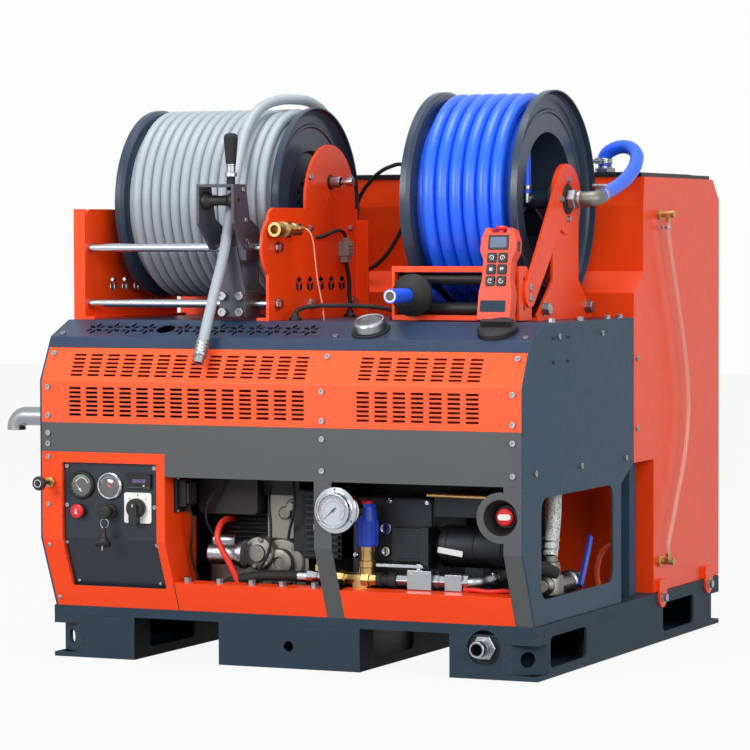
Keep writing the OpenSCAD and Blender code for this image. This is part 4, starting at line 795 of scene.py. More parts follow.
def dial(name, place, radius, looks, needle, first, last, marks, ink, pivot=(0, 0)):
    """A dial's face, marks, needle and glass, seen along its place's own third axis."""
    face, print_look, pointer = looks
    shape(f"{name}_face", face, (placed, place, turned, disc(radius, 0, 0.5)), slot=None)
    ticks = []
    for i in range(marks):
        turn = about("Z", first + (last - first) * i / (marks - 1))
        inner = radius * (0.7 if i % 5 == 0 else 0.8)
        ticks.append((placed, place @ turn, block, (inner, -ink / 2, 0.4), (radius * 0.9, ink / 2, 0.7)))
    scale = (arc, place, radius * 0.9, radius * 0.92, first, last, 0.4, 0.7)
    shape(f"{name}_marks", print_look, *ticks, scale, slot=None)
    middle = place @ shift(*pivot, 0)
    tip, tail = radius * (0.72 if any(pivot) else 0.82), radius * 0.3
    hand = [
        (-tail, -ink * 2.4), (0, -ink * 1.6), (tip, -0.15), (tip, 0.15), (0, ink * 1.6), (-tail, ink * 2.4),
    ]
    hub = [(0, 0.4), (radius * 0.11, 0.4), (radius * 0.1, 2.2), (0, 2.6)]
    shape(
        f"{name}_needle", pointer,
        (cut, middle @ about("Z", needle), hand, 1.2, 1.6), (placed, middle, turned, hub, ORIGIN, Z, 20),
        slot=None,
    )
    dome = [(0, 3), (radius, 3), (radius, 3.4), (radius * 0.6, 3.9), (0, 4.1)]
    shape(f"{name}_glass", "glass", (placed, place, turned, dome))


def panel_gauges():
    """Two engine gauges: a case in the panel, a rim and a dial."""
    # X, rim, needle's look, angle and pivot, and the printed bands by angles, radii and look
    gauges = {
        "oil_gauge": (-454, "plastic", "white", 128, (-4, -9), (
            (155, 15, 14.2, 15.8, "white"), (118, 52, 16.4, 19.4, "green"),
        )),
        "fuel_gauge": (-387, "chrome", "red", 138, (-1, 0), (
            (112, 42, 7, 14, "white"), (126, 58, 16, 21, "screen"), (28, 4, 17.5, 19.5, "red"),
        )),
    }
    case = [
        (0, 4.4), (23.2, 4.4), (23.6, 7.6), (24.6, 9), (26.6, 9.2), (28.8, 7.4), (30, 4), (30, 0.2),
        (25.5, 0.2), (25.5, -44), (22, -45), (0, -45),
    ]
    for name, (x, rim, pointer, needle, pivot, bands) in gauges.items():
        at = (x, PANEL_Y, 373)
        shape(
            f"{name}_case", rim, (turned, case, at, FRONT, 64), slot="black_plastic",
            replaces=["panel_instruments"],
        )
        place = facing(at, 4.4)
        dial(name, place, 23, ("dark_dial", "white", pointer), needle, 160, 20, 11, 0.4, pivot)
        for first, last, inner, outer, look in bands:
            band = (arc, place, inner, outer, first, last, 0.4, 0.8)
            shape(f"{name}_{look}_band", look, band, slot=None)


def hour_meter():
    place = facing((-318, PANEL_Y, 384.5))
    bm = bmesh.new()
    placed(bm, place, block, (-29, -15.5, 0), (29, 15.5, 7))
    bmesh.ops.recalc_face_normals(bm, faces=bm.faces)
    front = [f for f in bm.faces if f.normal.y < -0.9]
    bmesh.ops.inset_region(bm, faces=front, thickness=5, depth=-1.6)
    finish_piece("hour_meter_case", bm, "plastic", bevel=0.5)
    # Each digit is a plain frame of four bars
    bars = (((0, -3.8), (0.8, 3.8)), ((3.2, -3.8), (4, 3.8)), ((0, 3), (4, 3.8)), ((0, -3.8), (4, -3)))
    shape("hour_meter_digits", "violet", *(
        (placed, place @ shift(-13 + i * 6.2, 0, 0), block, (*low, 5.3), (*high, 5.7))
        for i in range(5) for low, high in bars
    ))
    lamp = [(0, 7.6), (1.6, 7.2), (1.8, 5.4), (0, 5.4)]
    shape("hour_meter_lamp", "white", (placed, place, turned, lamp, (13, -9.6, 0), Z, 20), slot=None)


def switches():
    start_bezel = [
        (0, -30), (12.8, -30), (12.8, 0.2), (15, 0.2), (15, 4), (13.6, 6), (11, 6), (10.5, 5.4), (10.5, -20),
        (0, -20),
    ]
    key_bezel = [
        (0, -30), (9.5, -30), (9.5, 0.2), (15.4, 0.2), (15.4, 4), (13, 7), (9, 8), (6, 7), (6, 2), (0, 2),
    ]
    shape("switch_bezels", "plastic", (turned, start_bezel, START, FRONT), (turned, key_bezel, KEY, FRONT))

    shape("selector_plate", "white", (cut, facing(SELECTOR), rounded(64, 64, 5), 0.2, 4), bevel=0.5)
    shape("selector_marks", "plastic", *(
        (placed, facing(SELECTOR, 0, angle), block, (25.5, -0.7, 3.9), (30, 0.7, 4.2))
        for angle in (45, 90, 135)
    ))
    place = facing(SELECTOR, 4)
    barrel = [(0, -8), (6.4, -8), (6.4, 0.5), (19.5, 0.5), (20.5, 2), (20.5, 13), (18.6, 16.6), (0, 17.4)]
    lever = [(-9.6, 7), (-9.6, -31), (-7.4, -33.4), (7.4, -33.4), (9.6, -31), (9.6, 7), (6, 11), (-6, 11)]
    shape(
        "selector_handle", "plastic",
        (placed, place, turned, barrel, ORIGIN, Z, 56), (cut, place, lever, 6, 23.6),
        body="selector", replaces=["selector_knob"], bevel=1.6,
    )
    pointer = (placed, place, block, (-0.9, 3, 23.4), (0.9, 9.6, 23.9))
    shape("selector_pointer", "white", pointer, body="selector")

    cap = [(0, 9.6), (13.4, 9.6), (14.8, 11), (14.8, 14.4), (13, 16.8), (7, 17.8), (0, 18)]
    shape("start_cap", "red", (turned, cap, START, FRONT, 56), body="start")
    place = facing(START, 18)
    shape(
        "start_mark", "white",
        (placed, place, block, (-1.6, -4.6, -0.5), (1.6, 5, 0.3)),
        (placed, place, block, (-3.6, -5.6, -0.5), (3.6, -3.4, 0.3)),
        body="start", slot="red_plastic",
    )

    cup = [
        (11.3, -42), (25, -42), (39.5, -6), (44.5, -6), (44.5, -3.2), (36.4, -3.2), (22, -38), (11.3, -38),
        (11.3, -42),
    ]
    shape(
        "stop_cup", "plastic",
        (turned, cup, STOP, FRONT, 72), (turned, collar(19, 23.4, -31, 22.4, -30, -37.8), STOP, FRONT, 56),
    )
    grip = (cut, facing(STOP, -21), rounded(28, 12, 5.9), -1.2, 0.2)
    shape("stop_grip", "white", grip, body="stop", slot="red_plastic", bevel=0.1)

    shape(
        "choke_base", "brass",
        (turned, collar(4.9, 12, 8, 11, 9, 0.2), CHOKE, FRONT, 6),
        (turned, [(4.6, 9), (7.4, 9), (7.4, 15), (4.6, 15), (4.6, 9)], CHOKE, FRONT, 32),
    )
    knob_end = (CHOKE[0], CHOKE[1] - 58, CHOKE[2])
    shape("choke_mark", "white", (ring, knob_end, FRONT, 7.5, 0.7), body="choke")


def key():
    """The capped key in its switch, with a ring that holds a second key by its bell-shaped cap."""
    place = facing(KEY, 7)
    hang = Vector((0, -33, 19))
    drop = Vector((0.05, -0.93, 0.35)).normalized()
    end = hang + drop * 38
    shape(
        "key_blade", "zinc",
        (placed, place, block, (-5, -1.2, -4), (5, 1.2, 10)),
        (placed, place, ring, (0, -23.6, 19), Z, 9.4, 1),
        (placed, place, rod, end, end + Vector((0, -11, 1)), 1.5, 12),
        body="key", replaces=["ignition_key"],
    )
    cap = [(0, 9), (12.4, 9), (14.6, 11), (14.6, 20), (12, 24), (0, 25)]
    bell = [
        (0, -3), (3, -3), (3.8, 2), (4.2, 8), (7, 16), (13.6, 26), (18.2, 33), (19, 37), (17.6, 39), (0, 39),
    ]
    shape(
        "key_caps", "plastic", (placed, place, turned, cap), (placed, place, turned, bell, hang, drop),
        body="key", bevel=0.6,
    )


def panel_reveal():
    """The folded edge of the orange surround round the control panel."""
    across = Matrix((Y, Z, X)).transposed().to_4x4()
    edge = [(-588, 157), (-631.6, 259), (-631.6, 421.6), (-622, 421.6), (-622, 261.6), (-578.4, 157)]
    shape(
        "panel_reveal", "orange",
        *((cut, shift(x, 0, 0) @ across, edge, 0, 1.4) for x in (-499.8, -273.6)),
        (block, (-499.8, -631.6, 420.4), (-272.2, -622, 421.8)),
    )


def pump_gauge():
    """The large liquid-filled gauge on the middle post."""
    case = [
        (0, 13), (31, 13), (31.4, 17.6), (32.4, 19), (34.6, 19.2), (37, 17.4), (38, 14), (38.4, 6),
        (39.4, 5), (45.6, 4.4), (47, 3.2), (47, 0.2), (0, 0.2),
    ]
    shape(
        "pump_gauge_case", "chrome",
        (turned, case, PUMP_GAUGE, FRONT, 80),
        (rod, (161, FRONT_Y + 0.2, 338), (161, FRONT_Y + 24, 338), 30, 48),
        slot="chrome_steel", replaces=["pressure_gauge"],
    )
    screw = [(0, 0.6), (2, 0.5), (2.4, -0.5), (0, -0.5)]
    shape("pump_gauge_screws", "plastic", *(
        (placed, facing(PUMP_GAUGE, 4.4, angle), turned, screw, (42.5, 0, 0), Z, 16)
        for angle in (90, 210, 330)
    ), slot=None)
    place, first, last = facing(PUMP_GAUGE, 13), 225, -45
    dial("pump_gauge", place, 30.8, ("pale_dial", "plastic", "plastic"), 222, first, last, 31, 0.9)
    shape("pump_gauge_inner_scale", "red", (arc, place, 18.6, 19.4, first, last, 0.4, 0.7), slot=None)


def remote():
    """The remote control's screen, blank nameplate, side switch, key wells and key signs."""
    face = shift(428, -462.76, 718.3) @ about("X", -11) @ shift(0, -30, 0) @ FRONT_AXES
    screen = face @ shift(0, 160, 0)
    shape(
        "remote_bezel", "plastic", (cut, screen, rounded(44.4, 30.4, 4), -1.9, 1.0),
        body="remote", bevel=0.8,
    )
    shape(
        "remote_screen", "screen", (cut, screen, rounded(36, 22, 2), 0.6, 1.4),
        body="remote", slot="black_plastic", bevel=0.3,
    )
    shape(
        "remote_nameplate_blank", "slate", (cut, face @ shift(-3, 28, 0), rounded(56, 24, 2), -0.4, 0.4),
        body="remote", slot="black_plastic", bevel=0.2,
    )
    side = face @ shift(38.8, 154, -15) @ about("Y", 90)
    shape(
        "remote_side_switch", "plastic", (cut, side, rounded(14, 22, 5), -0.6, 0.6),
        body="remote", bevel=0.3,
    )
    # The keys stand in two columns and three rows
    keys = [face @ shift((i % 2 - 0.5) * 24, 80 + (i // 2) * 24, 0) for i in range(6)]
    square = [(-3.2, -3.2), (3.2, -3.2), (3.2, 3.2), (-3.2, 3.2)]
    flag = [(-3.4, -3.6), (-2.6, -3.6), (-2.6, -0.6), (3.4, -0.6), (3.4, 3.6), (-3.4, 3.6)]
    for i, key_place in enumerate(keys):
        place = key_place @ shift(0, 0, 2.5)
        if i // 2 == 1:
            sign = [(cut, place, flag if i % 2 else square, -0.1, 0.25)]
        else:
            hand = place @ about("Z", 45 + 50 * i)
            sign = [
                (arc, place, 3.8, 5, 40 + 60 * i, 310 + 60 * i, -0.1, 0.25),
                (placed, hand, block, (0, -0.6, -0.1), (4.4, 0.6, 0.25)),
            ]
        shape(f"remote_sign_{i + 1}", "white", *sign, body=f"remote_button_{i + 1}")
    well = rounded(21.6, 21.6, 4)
    shape("remote_key_wells", "plastic", *((cut, place, well, -0.3, 0.35) for place in keys), body="remote")


# Fittings of the tank and the reels


def fittings():
    sight_y = 165
    barb = [(0, 0), (8.4, 0), (8.4, 7), (6.4, 9), (6.4, 11), (5.6, 12), (6.4, 15), (5.4, 19), (0, 19)]
    shape("sight_elbows", "brass", *(part for z, side in ((941, -1), (178, 1)) for part in (
        (rod, (540, sight_y, z), (558, sight_y, z), 6.8),
        (turned, capped(12.4, 6.6, 11, 8), (550, sight_y, z), X, 6),
        (rod, (558, sight_y, z), (581, sight_y, z), 7),
        (turned, [(0, 0), (8, 0.6), (8, 7), (6, 8), (0, 8)], (580, sight_y, z), X, 24),
        (turned, barb, (573, sight_y, z), Z * side, 6),
    )), replaces=["fittings"])
    shape(
        "tank_top_fitting", "zinc",
        (rod, (438, 132, 1018), (438, 132, 1040), 13.8),
        (turned, [(13.8, 0), (24, 0), (24, 8), (22, 9), (13.8, 9)], (438, 132, 1033.6), Z, 6),
        (turned, capped(17, 4, 15.6, 5.9), (438, 132, 1040), Z, 40),
    )
    clamp("feed_clamp_tank", (438, 132, 1058), Z, 15.2, twist=60)
    clamp("feed_clamp_reel", (530, -134, 979.8), (0, 0.978, 0.208), 15.2, twist=90)
    clamp("sight_clamp", (573, 166, 912), Z, 5.2, 5)

    y, z = SUPPLY_AXLE
    shape("swivel_seal", "rubber", (turned, collar(21, 31, 6, 28, 9, 0.2), (SUPPLY_STAND_X, y, z), X, 48))
    shape(
        "swivel_nut", "zinc",
        (turned, capped(22, 13, 20, 16), (473, y, z), X, 6),
        (turned, [(0, 0), (17, 0), (18, 2), (18, 8), (17, 10), (0, 10)], (489, y, z), X, 40),
    )
    elbow = [
        (496, y, z), (512, y, z), (524, y + 4, z + 0.8), (529.5, y + 12, z + 2.5), (530, y + 25, z + 5.3),
    ]
    hose("swivel_elbow", elbow, 33, "cast")

    body = [
        (0, 0), (12, 0), (12, 14), (13.6, 16), (13.6, 30), (12, 32), (12, 60), (14, 62), (15, 66), (15, 96),
        (16.4, 98), (16.4, 112), (15, 116), (9.4, 116), (8.4, 112), (8, 92), (0, 92),
    ]
    outlet = [(0, 0), (5, 0), (5, 10), (3.4, 11), (3.4, 24), (0, 24)]
    shape(
        "quick_coupler", "brass",
        (turned, body, (-54, -400, 909), FRONT, 48),
        *((ring, (-54, -470 - 5 * k, 909), FRONT, 15.2, 0.9, 36, 8) for k in range(4)),
        (turned, outlet, (-42, -430, 911), X + FRONT * 0.3, 24),
    )
    shape(
        "coupler_clip", "plastic",
        (block, (-72, -420, 897), (-44, -404, 921)), (block, (-72, -424, 893), (-69, -400, 925)), bevel=1.2,
    )
    drain = [
        (-20, -437, 911), (-12, -436, 906), (-6, -430, 886), (-4, -424, 850), (-2, -418, 810),
        (2, -412, 775), (6, -408, 748), (8, -406, 719),
    ]
    hose("coupler_drain", drain, 3.2, "clear")


def lean_y(z, y=FRONT_Y, kink=KINK_Z):
    """The Y of the leaning lower front at a height."""
    return y + (kink - z) * LEAN


def fasteners():
    """Screws of the leaning front, the carriage and the supply stand, and the jetting axle's cover."""
    under = Vector((0, -0.92, -0.392))
    shape(
        "slant_screws", "zinc",
        *((small_screw, (x, lean_y(z) - 0.2, z), under) for x, z in ((-532, 244), (-536, 128))),
        *(
            (small_screw, (x, lean_y(z, PANEL_Y, 261.6) - 0.2, z), under, 4.2)
            for x, z in ((-495, 250), (-281, 250), (-486, 166), (-291, 166))
        ),
    )
    socket_head = [(0, 1.8), (4, 1.8), (4.2, 4), (8.6, 4), (9.4, 3), (9.4, -6.9), (0, -6.9)]
    shape(
        "carriage_screws", "zinc",
        *((turned, socket_head, (x, -510.2, z), FRONT, 32) for x in (-179, -139) for z in (736, 770)),
        *((small_screw, (-127.9, y, z), X, 6.4) for y, z in ((-512, 992), (-500, 928), (-494, 884))),
        body="carriage",
    )
    washer, head = disc(15.4, 0.2, 1.8), capped(14, 13, 12, 14.6, 1.8)
    shape(
        "stand_bolts", "zinc",
        *((small_screw, (469.2, -388, 777 + dz), X, 8) for dz in (-10.8, 10.8)),
        *((seated_bolt, (SUPPLY_STAND_X, y, 742), X, washer, head) for y in (-300, -50)),
    )
    shape("axle_cover", "orange", (turned, disc(21, 0.1, 0.9), (MAIN_STAND_X, *MAIN_AXLE), X))


def seen_on_the_side():
    """Bolts along the deck's right edge, black screws of the side panel and the seam by the left sill."""
    washer, head = disc(9.4, 0, 1.6), capped(7.6, 7, 6.4, 8.4, 1.4)
    shape("deck_edge_bolts", "zinc", *(
        (seated_bolt, (535, y, DECK_Z), Z, washer, head) for y in (-440, -278, -118, -42)
    ))
    shape("side_screws", "plastic", *(
        (small_screw, (SIDE_X, y, z), X, 3.4) for y in (-469, -387) for z in (638, 687)
    ))
    middle = shift(-253.85, lean_y(141), 141) @ about("X", math.degrees(math.atan(LEAN)))
    shape("sill_seam", "plastic", (placed, middle, block, (-0.9, -0.25, -31), (0.9, 0.25, 31)))


def lock_barrel():
    """The barrel that the lock's plunger slides in, and the collar on the lever of the carriage."""
    at = (MAIN_STAND_X, MAIN_AXLE[0], MAIN_AXLE[1] + 45)
    shape("lock_barrel", "zinc", (turned, collar(10.2, 12.4, 24, 11.6, 25), at, X, 40))
    shape("lock_seat", "rubber", (turned, collar(12.4, 16.4, 2, 15, 3), at, X, 40))
    grooved = [
        (9, 0), (13, 0), (13, 8), (12, 9.6), (9.6, 10), (9.6, 22), (11, 23), (11, 26), (9, 26), (9, 0),
    ]
    shape("lever_collar", "zinc", (turned, grooved, (-150, -524, 1020), Z, 36), body="carriage_handle")


def fuel_cap():
    """The bright rim of the fuel cap round its dished top, on a rubber seat."""
    at, axis = (180, -546, 701), (0, -0.39959, 0.91669)
    shape("fuel_cap_seat", "rubber", (turned, collar(34, 40, 3.4, 38, 5, 0.4), at, axis))
    rim = [
        (26, 21.2), (26.4, 24), (28, 25.2), (31, 24.6), (33.6, 21), (33.8, 6), (33.2, 5.4), (33.2, 18),
        (26, 21.2),
    ]
    shape("fuel_cap_rim", "zinc", (turned, rim, at, axis, 56), body="fuel", slot="chrome_steel")
    dish = [(0, 21.4), (26.2, 21.4), (26.2, 21.8), (14, 21.8), (12, 22.6), (0, 22.6)]
    shape("fuel_cap_dish", "grey", (turned, dish, at, axis, 48), body="fuel", slot="chrome_steel")


def reel_feed():
    """The stub of blue hose, its clamp and its fitting inside the supply reel."""
    stub = [(395, -236, 1098), (395, -230, 1060), (395, -226, 1020), (395, -225, 984)]
    hose("reel_feed_hose", stub, 20, "blue_hose", body="supply_reel")
    clamp("reel_feed_clamp", (395, -225, 996), Z, 10.2, 9, body="supply_reel", twist=-30)
    branch = [(0, 0), (11, 0), (11, 8), (8, 10), (8, 34), (0, 34)]
    shape(
        "reel_feed_elbow", "zinc",
        (rod, (395, -225, 964), (395, -225, 986), 8.6), (turned, branch, (395, -228, 972), Y, 6),
        body="supply_reel",
    )


# Suction side, seen in the right window


def suction():
    hose("suction_hose", SUCTION_ROUTE, 30, "braid", replaces=["suction_line"])
    for i, at in enumerate(((505, -366, 252), (505, -362, 268))):
        clamp(f"suction_clamp_{i}", at, (0, 0.25, -1), 15.2, 7, twist=40)
    bowl = [
        (0, 0), (15, 0), (15, 38), (22, 42), (27, 46), (27, 80), (24, 86), (20, 88), (20, 104), (18.6, 106),
        (18.6, 112), (14.6, 114), (14.6, 125), (0, 125),
    ]
    shape(
        "strainer", "cast",
        (turned, bowl, (505, -370, 110.5), Z, 40),
        (rod, (505, -370, 172), (505, -262, 172), 15),
        (turned, [(15, 0), (21, 0), (21, 14), (15, 14)], (505, -345, 172), Y, 6),
        (turned, [(0, 0), (19, 0), (19, 6), (12, 12), (12, 22), (0, 22)], (505, -394, 176), FRONT, 32),
    )
    valve = [(0, 0), (20, 0), (20, 10), (24, 14), (24, 40), (20, 44), (20, 54), (0, 54)]
    shape(
        "suction_valve_body", "zinc",
        (turned, valve, (499, -271, 172), Y, 8),
        (rod, (498, -244, 172), (520, -244, 172), 11, 6),
        (turned, [(6.3, 0), (9, 0), (9, 2), (6.3, 2), (6.3, 0)], (520, -244, 172), X, 24),
    )
    nipple = [
        (12.6, -60), (16.6, -60), (16.6, 20), (16, 20.6), (16, 22), (16.6, 22.6), (16.6, 39), (15.6, 40),
        (12.6, 40), (12.6, -60),
    ]
    shape(
        "water_inlet_nipple", "zinc",
        (turned, nipple, (438, -568, 64), FRONT, 48),
        (turned, [(16.6, 0), (27, 0), (27, 10), (25, 12), (16.6, 12)], (438, -561.8, 64), FRONT, 6),
    )
    flange = (block, (392, -561.7, 10), (484, -557.7, 83))
    shape("water_inlet_flange", "rubber", flange, slot="zinc_steel")
    return_route = [
        (547, -80, 236), (533, -77, 235), (517, -72, 228), (502, -68, 212), (494, -66, 190), (491, -64, 166),
        (494, -62, 142), (498, -60, 110.6),
    ]
    hose("return_tube", return_route, 13, "return_hose")


# Engine and pump behind the front sills


def engine():
    pulley = [
        (0, 0), (52, 0), (52, 20), (47, 24), (30, 25), (29, 40), (22, 42), (12, 42), (12, 36), (0, 36),
    ]
    filter_can = [(0, 0), (36, 0), (36, 44), (33, 48), (18, 50), (18, 56), (0, 56)]
    sender = [(0, 0), (16, 0), (16, 30), (13, 34), (9, 34), (9, 46), (0, 46)]
    cover_bolts = ((-150, 148), (-150, 232), (0, 148), (-6, 238), (-75, 140), (-30, 242))
    can_bolts = [math.radians(60 * k + 15) for k in range(6)]
    shape(
        "crankcase", "cast",
        (block, (-240, ENGINE_Y, 128), (0, -190, 250)),
        *((block, (x - 14, -460, SKID_Z), (x + 14, -180, 128)) for x in (-225, -15)),
        (cut, facing((-75, ENGINE_Y, 190)), rounded(150, 112, 26), 0, 18),
        *((block, (x, -474, 138), (x + 4, -466, 182)) for x in range(-142, 20, 27)),
        (turned, pulley, (-60, ENGINE_Y, 210), FRONT, 56),
        (turned, filter_can, (-104, ENGINE_Y, 230), FRONT, 48),
        *(
            (bolt, (-104 + 29 * math.cos(a), -498, 230 + 29 * math.sin(a)), FRONT, 10, 6, False)
            for a in can_bolts
        ),
        *((bolt, (x, -468, z), FRONT, 12, 8) for x, z in cover_bolts),
        (turned, sender, (-30, ENGINE_Y, 330), FRONT, 32),
        (block, (-95, -470, 260), (-28, -440, 352)),
        (turned, capped(14, 24, 11, 26), (-44, -470, 316), FRONT, 28),
        slot="cast_metal", replaces=["engine"], bevel=2.2,
    )
    shape(
        "cooling_fins", "iron",
        (block, (-190, -430, 250), (-40, -210, 350)),
        *((block, (-204, -444, z), (-26, -200, z + 4)) for z in range(256, 346, 10)),
        *((block, (6, -502, z), (84, -402, z + 8)) for z in range(226, 369, 13)),
        (block, (2, -494, 222), (88, -400, 366)),
        (cut, facing((-4, -452, 300)), rounded(44, 130, 12), 0, 36),
        bevel=1.2,
    )
    starter = [(0, 0), (20, 0), (24, 4), (24, 66), (26, 68), (26, 74), (31, 76), (31, 84), (0, 84)]
    shape(
        "starter_motor", "zinc",
        (turned, starter, (-212, -505, 228), X), (rod, (-200, -505, 256), (-150, -505, 256), 13),
        slot="cast_metal",
    )
    shape(
        "air_box", "plastic",
        (cut, facing((-127, -220, 410)), rounded(215, 121, 14), 0, 250),
        (cut, facing((-172, -466, 356)), rounded(140, 92, 12), 0, 36),
        (block, (-150, -490, 330), (-128, -482, 400)),
        (turned, capped(17, 50, 14, 54), (-130, ENGINE_Y, 160), FRONT, 32),
        bevel=2.0,
    )
    shape(
        "charge_regulator", "plastic",
        (block, (-253.6, -592, 318), (-246, -536, 394)),
        (block, (-246, -584, 330), (-230, -544, 386)),
        *((block, (-230, y, 336), (-224, y + 4, 380)) for y in range(-580, -540, 8)),
        bevel=1.0,
    )
    # Painted shade: a dark sheet behind the pump that stands for the shade at the back of the bay
    shape("bay_shade_sheet", "plastic", (block, (-40, -182, 112), (420, -180, 480)))
    shape("engine_bolts", "zinc", *(
        (bolt, (-246, y, z), X, 7, 4, False) for y in (-588, -540) for z in (390, 322)
    ))
    bleed = [
        (-190, -436, 296), (-184, -462, 298), (-176, -490, 300), (-170, -518, 300), (-168, -540, 295),
        (-169, -553, 282), (-168, -559, 264), (-160, -560, 246), (-147, -560, 225), (-136, -556, 202),
        (-127, -551, 178), (-121, -547, 150), (-118, -540, 118),
    ]
    hose("engine_bleed_hose", bleed, 13, "red_hose")
    leads = {
        "starter": (
            (-205, -500, 262), (-214, -520, 300), (-204, -526, 340), (-180, -515, 372), (-160, -500, 392),
        ),
        "coil": (
            (-70, -505, 372), (-62, -530, 340), (-54, -538, 290), (-60, -535, 240), (-84, -530, 200),
            (-104, -520, 174),
        ),
        "regulator": (
            (-236, -560, 330), (-226, -562, 306), (-230, -556, 270), (-240, -540, 230), (-236, -520, 180),
            (-228, -500, 132),
        ),
        "sensor": ((-20, -500, 384), (-10, -515, 350), (-14, -516, 310), (-28, -500, 284), (-36, -492, 262)),
    }
    for name, route in leads.items():
        hose(f"{name}_lead", route, 6, "rubber")
    shape(
        "engine_plugs", "brass",
        (turned, [(0, 0), (15, 0), (15, 9), (9, 9), (9, 2), (0, 2)], (46, -502, 291), FRONT, 32),
        (turned, [(0, 0), (9, 0), (9, 12), (6, 14), (6, 22), (0, 22)], (60, SILL_LINE_Y, 204), Z, 6),
    )
    sill_line = [(-190, -520, 140), (-150, -540, 170), (-100, -546, 184), (-40, -546, 190), (20, -546, 191)]
    hose("sill_hose", sill_line, 22, "rubber")
    coupling = [(0, 0), (14, 0), (14, 13), (12, 15), (12, 24), (13.6, 26), (13.6, 42), (0, 42)]
    shape(
        "hose_couplings", "chrome",
        (rod, (16, -546, 191), (36, -546, 191), 12.4),
        (turned, coupling, (36, -546, 191), X, 6),
        (rod, (78, -546, 190.6), (102, -546, 190.2), 9),
    )


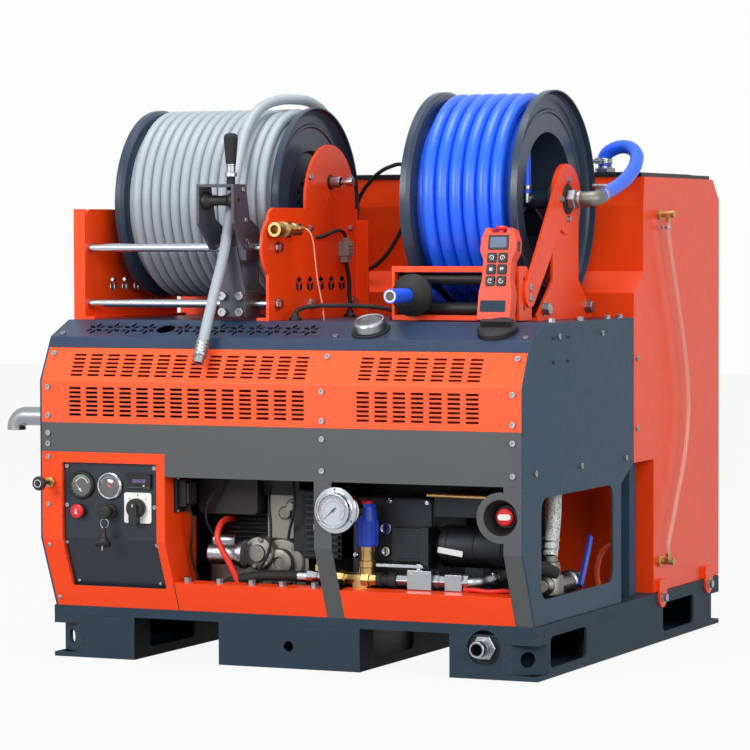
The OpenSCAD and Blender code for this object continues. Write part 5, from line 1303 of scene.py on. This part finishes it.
def pump():
    canister = [(0, 0), (30, 0), (30, 12), (43, 14), (43, 150), (40, 156), (30, 160), (0, 160)]
    shape(
        "pump_casing", "iron",
        (cut, facing((209, -330, 233)), rounded(182, 245, 12), 0, 170),
        (cut, facing((209, -500, 290)), rounded(176, 126, 10), 0, 6),
        (cut, facing((250, -500, 262)), rounded(72, 68, 5), 0, 22),
        (cut, facing((250, -522, 262)), rounded(60, 56, 4), 0, 2),
        (block, (286, -540, 218), (304, -500, 300)),
        (turned, canister, (300, -470, 258), X, 56),
        *((ring, (x, -470, 258), X, 43.2, 1.4) for x in (330, 390, 450)),
        (block, (360, -480, SKID_Z), (400, -440, 220)),
        (block, (300, -500, 320), (470, -330, 366)),
        replaces=["pump"], bevel=1.4,
    )
    button = [(0, 5), (4, 4.6), (6, 2.6), (6.4, 0), (0, 0)]
    buttons = ((126, 348), (203, 350), (288, 348), (126, 236), (288, 236))
    # Each plug's height and radius
    plugs = ((293, 14), (246, 11))
    shape(
        "pump_screws", "chrome",
        *((turned, button, (x, PUMP_Y, z), FRONT, 24) for x, z in buttons),
        *((turned, [
            (r - 5, 0), (r, 0), (r, 6), (r - 1.4, 8), (r - 4, 8), (r - 5, 3), (0, 3), (0, 0),
        ], (196, PUMP_Y, z), FRONT, 32) for z, r in plugs),
    )

    x, y = 170, SILL_LINE_Y
    stem = [
        (0, 0), (13, 0), (13, 18), (15, 20), (15, 38), (17, 40), (17, 52), (14, 54), (14, 70), (15, 72),
        (15, 82), (0, 82),
    ]
    cross = [
        (0, 0), (12, 0), (12, 6), (17, 6), (17, 22), (14, 24), (14, 60), (19, 62), (19, 78), (16, 80),
        (13, 96), (0, 96),
    ]
    shape(
        "unloader_body", "brass",
        (turned, stem, (x, y, 176), Z, 40),
        (turned, cross, (100, y, 190), X, 8),
        (turned, disc(17, 0, 14), (x - 12, y, 178), FRONT, 6),
        (block, (x - 16, y - 6, 192), (x - 8, y + 6, 224)),
        (rod, (220, y, 190), (220, -500, 190), 11),
    )
    ribs = 16
    turns = [math.tau * k / ribs for k in range(ribs)]
    feet = [Vector((x + 21.2 * math.cos(a), y + 21.2 * math.sin(a), 264)) for a in turns]
    shape("unloader_grip", "blue", *((rod, foot, foot + Z * 48, 1.7, 10) for foot in feet), body="unloader")
    cap = [(0, 0), (12.6, 0), (12.6, 4), (10.4, 6), (0, 6.4)]
    shape("unloader_cap", "red", (turned, cap, (x, y, 346.6), Z, 32), body="unloader")

    hose_tail = [(0, 0), (15, 0), (15, 10), (12, 12), (12, 26), (16, 28), (16, 44), (0, 44)]
    shape("valve_hose_tail", "rubber", (turned, hose_tail, (194, y, 190), X, 24))
    shape(
        "valve_blocks", "zinc",
        (turned, disc(13, 0, 30), (238, y, 191), X, 6),
        (block, (267, -565, 174.4), (321, -525, 214)),
        (block, (349, -562, 174.4), (387, -528, 208)),
        (turned, [(12, 0), (16, 0), (16, 12), (14, 14), (14, 28), (0, 28)], (321, y, 192), X, 6),
        *((rod, (pin, -565.6, 206), (pin, -563, 206), 3, 16) for pin in (277, 311)),
        bevel=1.2,
    )
    elbow = [
        (376, y, 192), (396, y, 192), (412, y + 2, 193), (424, y + 12, 196), (428, y + 30, 198),
        (430, -490, 198),
    ]
    hose("outlet_elbow", elbow, 26, "zinc")
    shape(
        "elbow_nuts", "chrome",
        (turned, [(12, 0), (17, 0), (17, 14), (12, 14)], (384, y, 192), X, 6),
        (turned, capped(16, 12, 13, 14), (430, -502, 198), FRONT, 6),
    )
    outlet = [(430, -488, 198), (440, -470, 204), (470, -440, 214), (500, -410, 214), (520, -380, 200)]
    hose("pump_outlet_hose", outlet, 28, "rubber")
    drain = [(390, -556, 178), (420, -566, 180), (450, -566, 178), (480, -560, 180), (505, -548, 176)]
    hose("drain_hose", drain, 9, "red_hose")
    tag = (cut, facing((342, -515, 250), 0, -8), rounded(56, 12, 2), 0, 0.8)
    shape("canister_tag_blank", "white", tag)
    shape("cross_pipe", "brass", (rod, (285, -500, 364), (445, -500, 362), 5, 20))


# Finish of the solids that show as they are

SOLIDS = {
    "orange": ["lower_front_panels", "water_tank", "supply_stands", "guide_arm", "fairlead_frame"],
    "grille": ["grille_panel"],
    "stand": ["main_stand_left", "main_stand_right"],
    "slate": ["skid_deck"],
    "runner": ["skid_runners"],
    "side": ["side_panels"],
    "deck": ["deck_cover"],
    "grey": ["front_frame"],
    "panel": ["control_panel"],
    "purple": ["carriage_frame"],
    "black": ["main_drum", "supply_drum"],
    "plastic": [
        "tank_lid", "carriage_roller", "fairlead_roller_top", "fairlead_roller_bottom", "filler_cap",
        "selector_knob", "choke_knob", *(f"remote_key_{i}" for i in range(1, 7)),
    ],
    "rubber": ["carriage_grip", "hose_stop"],
    "red": ["start_button", "stop_button", "remote_stop"],
    "blue": ["unloader_knob", "suction_valve_lever"],
    "remote": ["remote_body"],
    "zinc": ["panel_screws", "reel_bearings", "main_hose_end", "exhaust_pipe"],
    "chrome": ["guide_rods", "lock_plunger", "pump_valve_lever", "fuel_cap"],
}


def paint_solids():
    for look, names in SOLIDS.items():
        for name in names:
            data = nodes[name].data
            data.materials.clear()
            data.materials.append(LOOK[look])


camera()
studio()
tails()
reels()
held_lines()
panel_gauges()
hour_meter()
switches()
key()
panel_reveal()
pump_gauge()
remote()
fittings()
fasteners()
seen_on_the_side()
lock_barrel()
fuel_cap()
reel_feed()
suction()
engine()
pump()
paint_solids()
